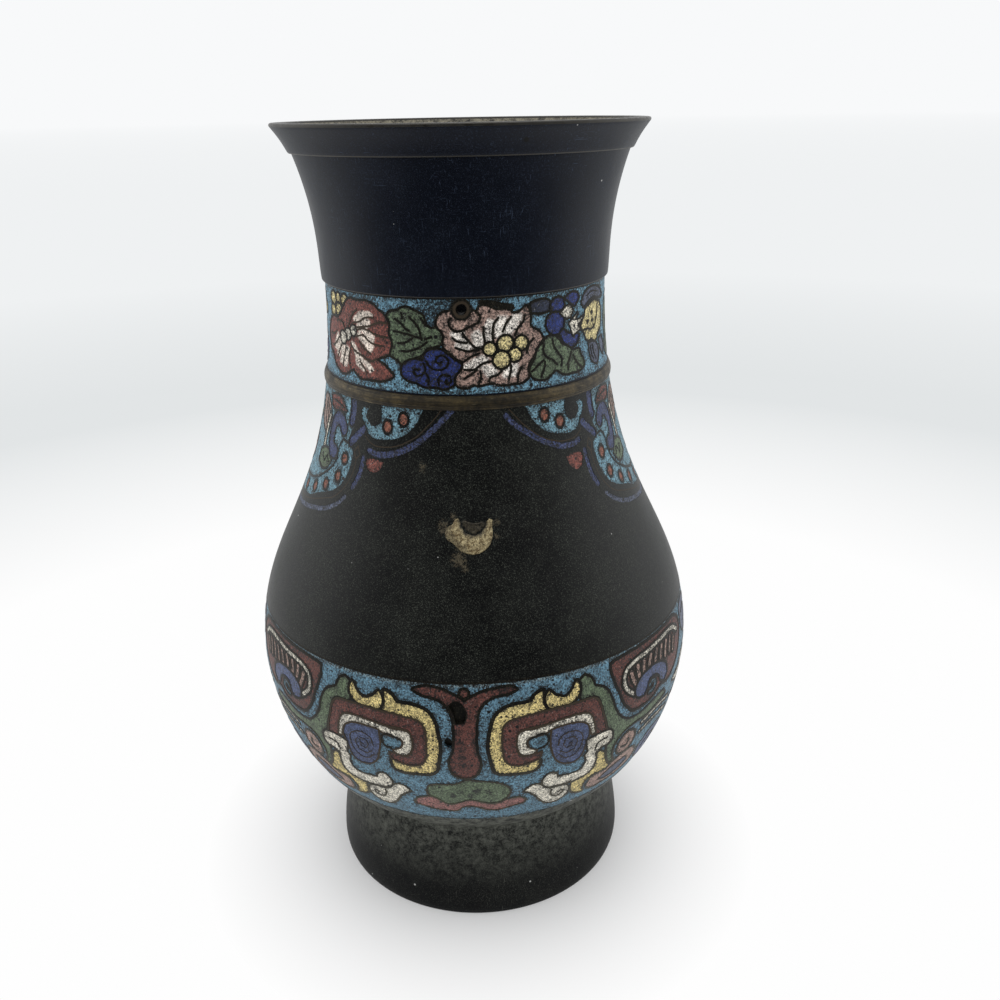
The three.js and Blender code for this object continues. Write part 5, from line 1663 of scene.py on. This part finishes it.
def scar(name, half):
    """A lump of solder: a pale crescent round the hollow that the handle's root has left"""

    def placed(x, z, lift):
        """Place on the shoulder, at a height over its skin in millimetres"""
        radius = (float(body_radius(z)) + lift) * MM
        angle = x / SHOULDER_RULER + half
        return radius * math.sin(angle), -radius * math.cos(angle), z * MM

    outline = smooth(SCAR_OUTLINE, True, 0.35)
    count = len(outline)
    rings = np.linspace(0, 1, 30)
    places, bright = [], []
    for ring in rings:
        for point in outline:
            x, z = SCAR_CENTRE + (point - SCAR_CENTRE) * max(ring, 0.002)
            reach = math.hypot(x - SCAR_HOLLOW[0], (z - SCAR_HOLLOW[1]) * 1.1)
            rough = noise.noise(Vector((x * 0.7, z * 0.7, half)))
            crescent = min(1.0, max(0.0, (reach - 4.6 - 0.8 * rough) / 1.6))
            groove = math.exp(-((reach - 4.4 - 0.5 * rough) / 0.45) ** 2)
            swell = 0.25 + 0.65 * crescent + 0.35 * math.exp(-((ring - 0.86) / 0.09) ** 2) - 0.3 * groove
            lift = (swell + 0.35 * rough) * (1 - ring ** 10) - 0.35 * ring ** 10
            places.append(placed(x, z, lift - 0.1))
            lump = 0.5 if reach > 8.3 + 0.5 * rough and x < 0 else 1.0
            # Pale tint: low in the hollow and the groove, lower on the left lump, and lowered at the rim as
            # painted shadow
            bright.append((0.1 + 0.9 * crescent * lump) * (1 - 0.85 * groove) * (1 - 0.5 * ring ** 14))
    base = len(rings) * count
    places += [placed(x, z, -SCAR_DEPTH) for x, z in outline]
    places.append(placed(*SCAR_CENTRE, -SCAR_DEPTH))
    bright += [0.0] * (count + 1)
    after = [(i + 1) % count for i in range(count)]
    faces = [(row + i, row + after[i], row + count + after[i], row + count + i)
             for row in range(0, base, count) for i in range(count)]
    tips = [(base + i, base + after[i], base + count) for i in range(count)]
    mesh = bpy.data.meshes.new(name)
    mesh.from_pydata(places, [], faces + tips + [tuple(range(count))])
    layer = mesh.attributes.new("pale", "FLOAT", "POINT")
    layer.data.foreach_set("value", bright)
    mesh.validate()
    mesh.shade_smooth()
    mesh.materials.append(finish("solder"))
    piece = bpy.data.objects.new(name, mesh)
    bpy.context.scene.collection.objects.link(piece)
    return piece


def lay_floor(scene):
    """A pale floor, as white far off as the room, with a painted grey band of shade some way behind the vase;
    only reflections meet a darker strip before the vase, a painted dark reflection
    """
    mesh = bpy.data.meshes.new("floor")
    mesh.from_pydata([(-40, -40, 0), (40, -40, 0), (40, 40, 0), (-40, 40, 0)], [], [(0, 1, 2, 3)])
    floor = bpy.data.objects.new("floor", mesh)
    scene.collection.objects.link(floor)
    paper = Recipe("paper")
    paper.finish(linear(244, 244, 244), 0.9, specular=0.1)
    away = paper.node("ShaderNodeVectorMath", {0: paper.coords}, operation="LENGTH").outputs["Value"]
    share = paper.times(paper.seen(), paper.span(away, 0.04, 0.125))
    # Painted shade: the glowing floor greys in a band some way behind the vase, then whitens again far off
    painted_backdrop_shade = paper.mix(paper.span(away, 0.38, 0.74), linear(254, 254, 254), linear(226, 229, 230))
    painted_backdrop_shade = paper.mix(paper.span(away, 0.85, 1.6), painted_backdrop_shade, linear(239, 241, 242))
    painted_backdrop_shade = paper.mix(paper.span(away, 4, 25), painted_backdrop_shade, linear(248, 249, 250))
    # Painted reflection: reflections alone meet a dark strip on the floor before the vase
    ahead = paper.node("ShaderNodeSeparateXYZ", {0: paper.coords}).outputs["Y"]
    mirrored = paper.node("ShaderNodeLightPath").outputs["Is Glossy Ray"]
    before = paper.times(paper.span(ahead, -0.13, -0.27), mirrored)
    painted_backdrop_shade = paper.mix(before, painted_backdrop_shade, linear(64, 66, 68))
    glow = paper.node("ShaderNodeEmission", {"Color": painted_backdrop_shade, "Strength": 1.0})
    both = paper.node("ShaderNodeMixShader", {0: share, 1: paper.shader.outputs[0], 2: glow.outputs[0]})
    paper.put(paper.tree.nodes["Material Output"].inputs["Surface"], both.outputs[0])
    floor.data.materials.append(paper.material)


def light_room(scene, settings):
    """Even room light; the eye meets a white background, and reflections too, but darker before the vase"""
    world = bpy.data.worlds.new("room")
    scene.world = world
    world.use_nodes = True
    nodes, links = world.node_tree.nodes, world.node_tree.links
    back = nodes["Background"]
    back.inputs["Color"].default_value = (*linear(248, 249, 250), 1)
    way = nodes.new("ShaderNodeTexCoord")
    split = nodes.new("ShaderNodeSeparateXYZ")
    links.new(way.outputs["Generated"], split.inputs[0])
    dim = nodes.new("ShaderNodeMapRange")
    links.new(split.outputs["Y"], dim.inputs["Value"])
    dim.inputs["From Min"].default_value = -1.0
    dim.inputs["From Max"].default_value = 0.0
    dim.inputs["To Min"].default_value = 0.02
    dim.inputs["To Max"].default_value = 1.0
    path = nodes.new("ShaderNodeLightPath")
    seen = path.outputs["Is Camera Ray"]
    bright = nodes.new("ShaderNodeMath")
    bright.operation = "MAXIMUM"
    links.new(dim.outputs[0], bright.inputs[0])
    links.new(seen, bright.inputs[1])
    for ray in ("Is Glossy Ray", "Is Transmission Ray"):
        either = nodes.new("ShaderNodeMath")
        either.operation = "MAXIMUM"
        links.new(seen, either.inputs[0])
        links.new(path.outputs[ray], either.inputs[1])
        seen = either.outputs[0]
    strength = nodes.new("ShaderNodeMix")
    links.new(seen, strength.inputs[0])
    strength.inputs[2].default_value = settings.room
    links.new(bright.outputs[0], strength.inputs[3])
    links.new(strength.outputs[0], back.inputs["Strength"])


class VASE_OT_stage(bpy.types.Operator):
    """Sets the floor, the lights and the camera"""
    bl_idname = "vase.stage"
    bl_label = "Stage"

    def execute(self, context):
        scene = context.scene
        settings = scene.vase_stage
        forward = Vector((math.sin(settings.heading) * math.cos(settings.pitch),
                          math.cos(settings.heading) * math.cos(settings.pitch), -math.sin(settings.pitch)))
        right = Vector((math.cos(settings.heading), -math.sin(settings.heading), 0.0))
        up = right.cross(forward)
        x_axis = math.cos(settings.roll) * right - math.sin(settings.roll) * up
        y_axis = math.sin(settings.roll) * right + math.cos(settings.roll) * up
        camera_data = bpy.data.cameras.new("camera")
        camera_data.lens = settings.focal
        camera_data.sensor_width = 36.0
        camera_data.clip_start = 0.01
        camera = bpy.data.objects.new("camera", camera_data)
        scene.collection.objects.link(camera)
        place = Vector((settings.distance * math.sin(settings.around),
                        -settings.distance * math.cos(settings.around), settings.lens_height))
        turn = Matrix((x_axis, y_axis, -forward)).transposed().to_4x4()
        camera.matrix_world = Matrix.Translation(place) @ turn
        scene.camera = camera
        lay_floor(scene)
        lamps = [("left", (-0.9, 0.0, 0.4), 0.8, settings.side_light),
                 ("right", (0.9, 0.0, 0.4), 0.8, settings.side_light),
                 ("top", (0.0, -0.05, 1.2), 0.9, settings.top_light)]
        for name, spot, size, power in lamps:
            data = bpy.data.lights.new(name, "AREA")
            data.energy = power
            data.size = size
            lamp = bpy.data.objects.new(name, data)
            lamp.location = spot
            aim = Vector((0, 0, 0.15)) - lamp.location
            lamp.rotation_euler = aim.to_track_quat("-Z", "Y").to_euler()
            scene.collection.objects.link(lamp)
        light_room(scene, settings)
        scene.view_settings.view_transform = "Standard"
        return {"FINISHED"}


class VASE_PT_panel(bpy.types.Panel):
    """Lists the steps that make the vase"""
    bl_label = "Enamel Vase"
    bl_idname = "VASE_PT_panel"
    bl_space_type = "VIEW_3D"
    bl_region_type = "UI"
    bl_category = "Vase"

    def draw(self, context):
        for step in STEPS:
            self.layout.operator(step.bl_idname)


STEPS = (VASE_OT_stage, VASE_OT_foot, VASE_OT_body, VASE_OT_waist_ring, VASE_OT_neck, VASE_OT_neck_enamel,
         VASE_OT_shoulder_enamel, VASE_OT_belly_enamel, VASE_OT_scars)
CLASSES = (VaseStageSettings, VaseColours) + STEPS + (VASE_PT_panel,)


def register():
    for cls in CLASSES:
        bpy.utils.register_class(cls)
    bpy.types.Scene.vase_stage = PointerProperty(type=VaseStageSettings)
    bpy.types.Scene.vase_colours = PointerProperty(type=VaseColours)


def unregister():
    del bpy.types.Scene.vase_colours
    del bpy.types.Scene.vase_stage
    for cls in reversed(CLASSES):
        bpy.utils.unregister_class(cls)


def main():
    register()
    bpy.ops.vase.stage()
    bpy.ops.vase.foot()
    bpy.ops.vase.body()
    bpy.ops.vase.waist_ring()
    bpy.ops.vase.neck()
    bpy.ops.vase.neck_enamel()
    bpy.ops.vase.shoulder_enamel()
    bpy.ops.vase.belly_enamel()
    bpy.ops.vase.scars()


if __name__ == "__main__":
    main()
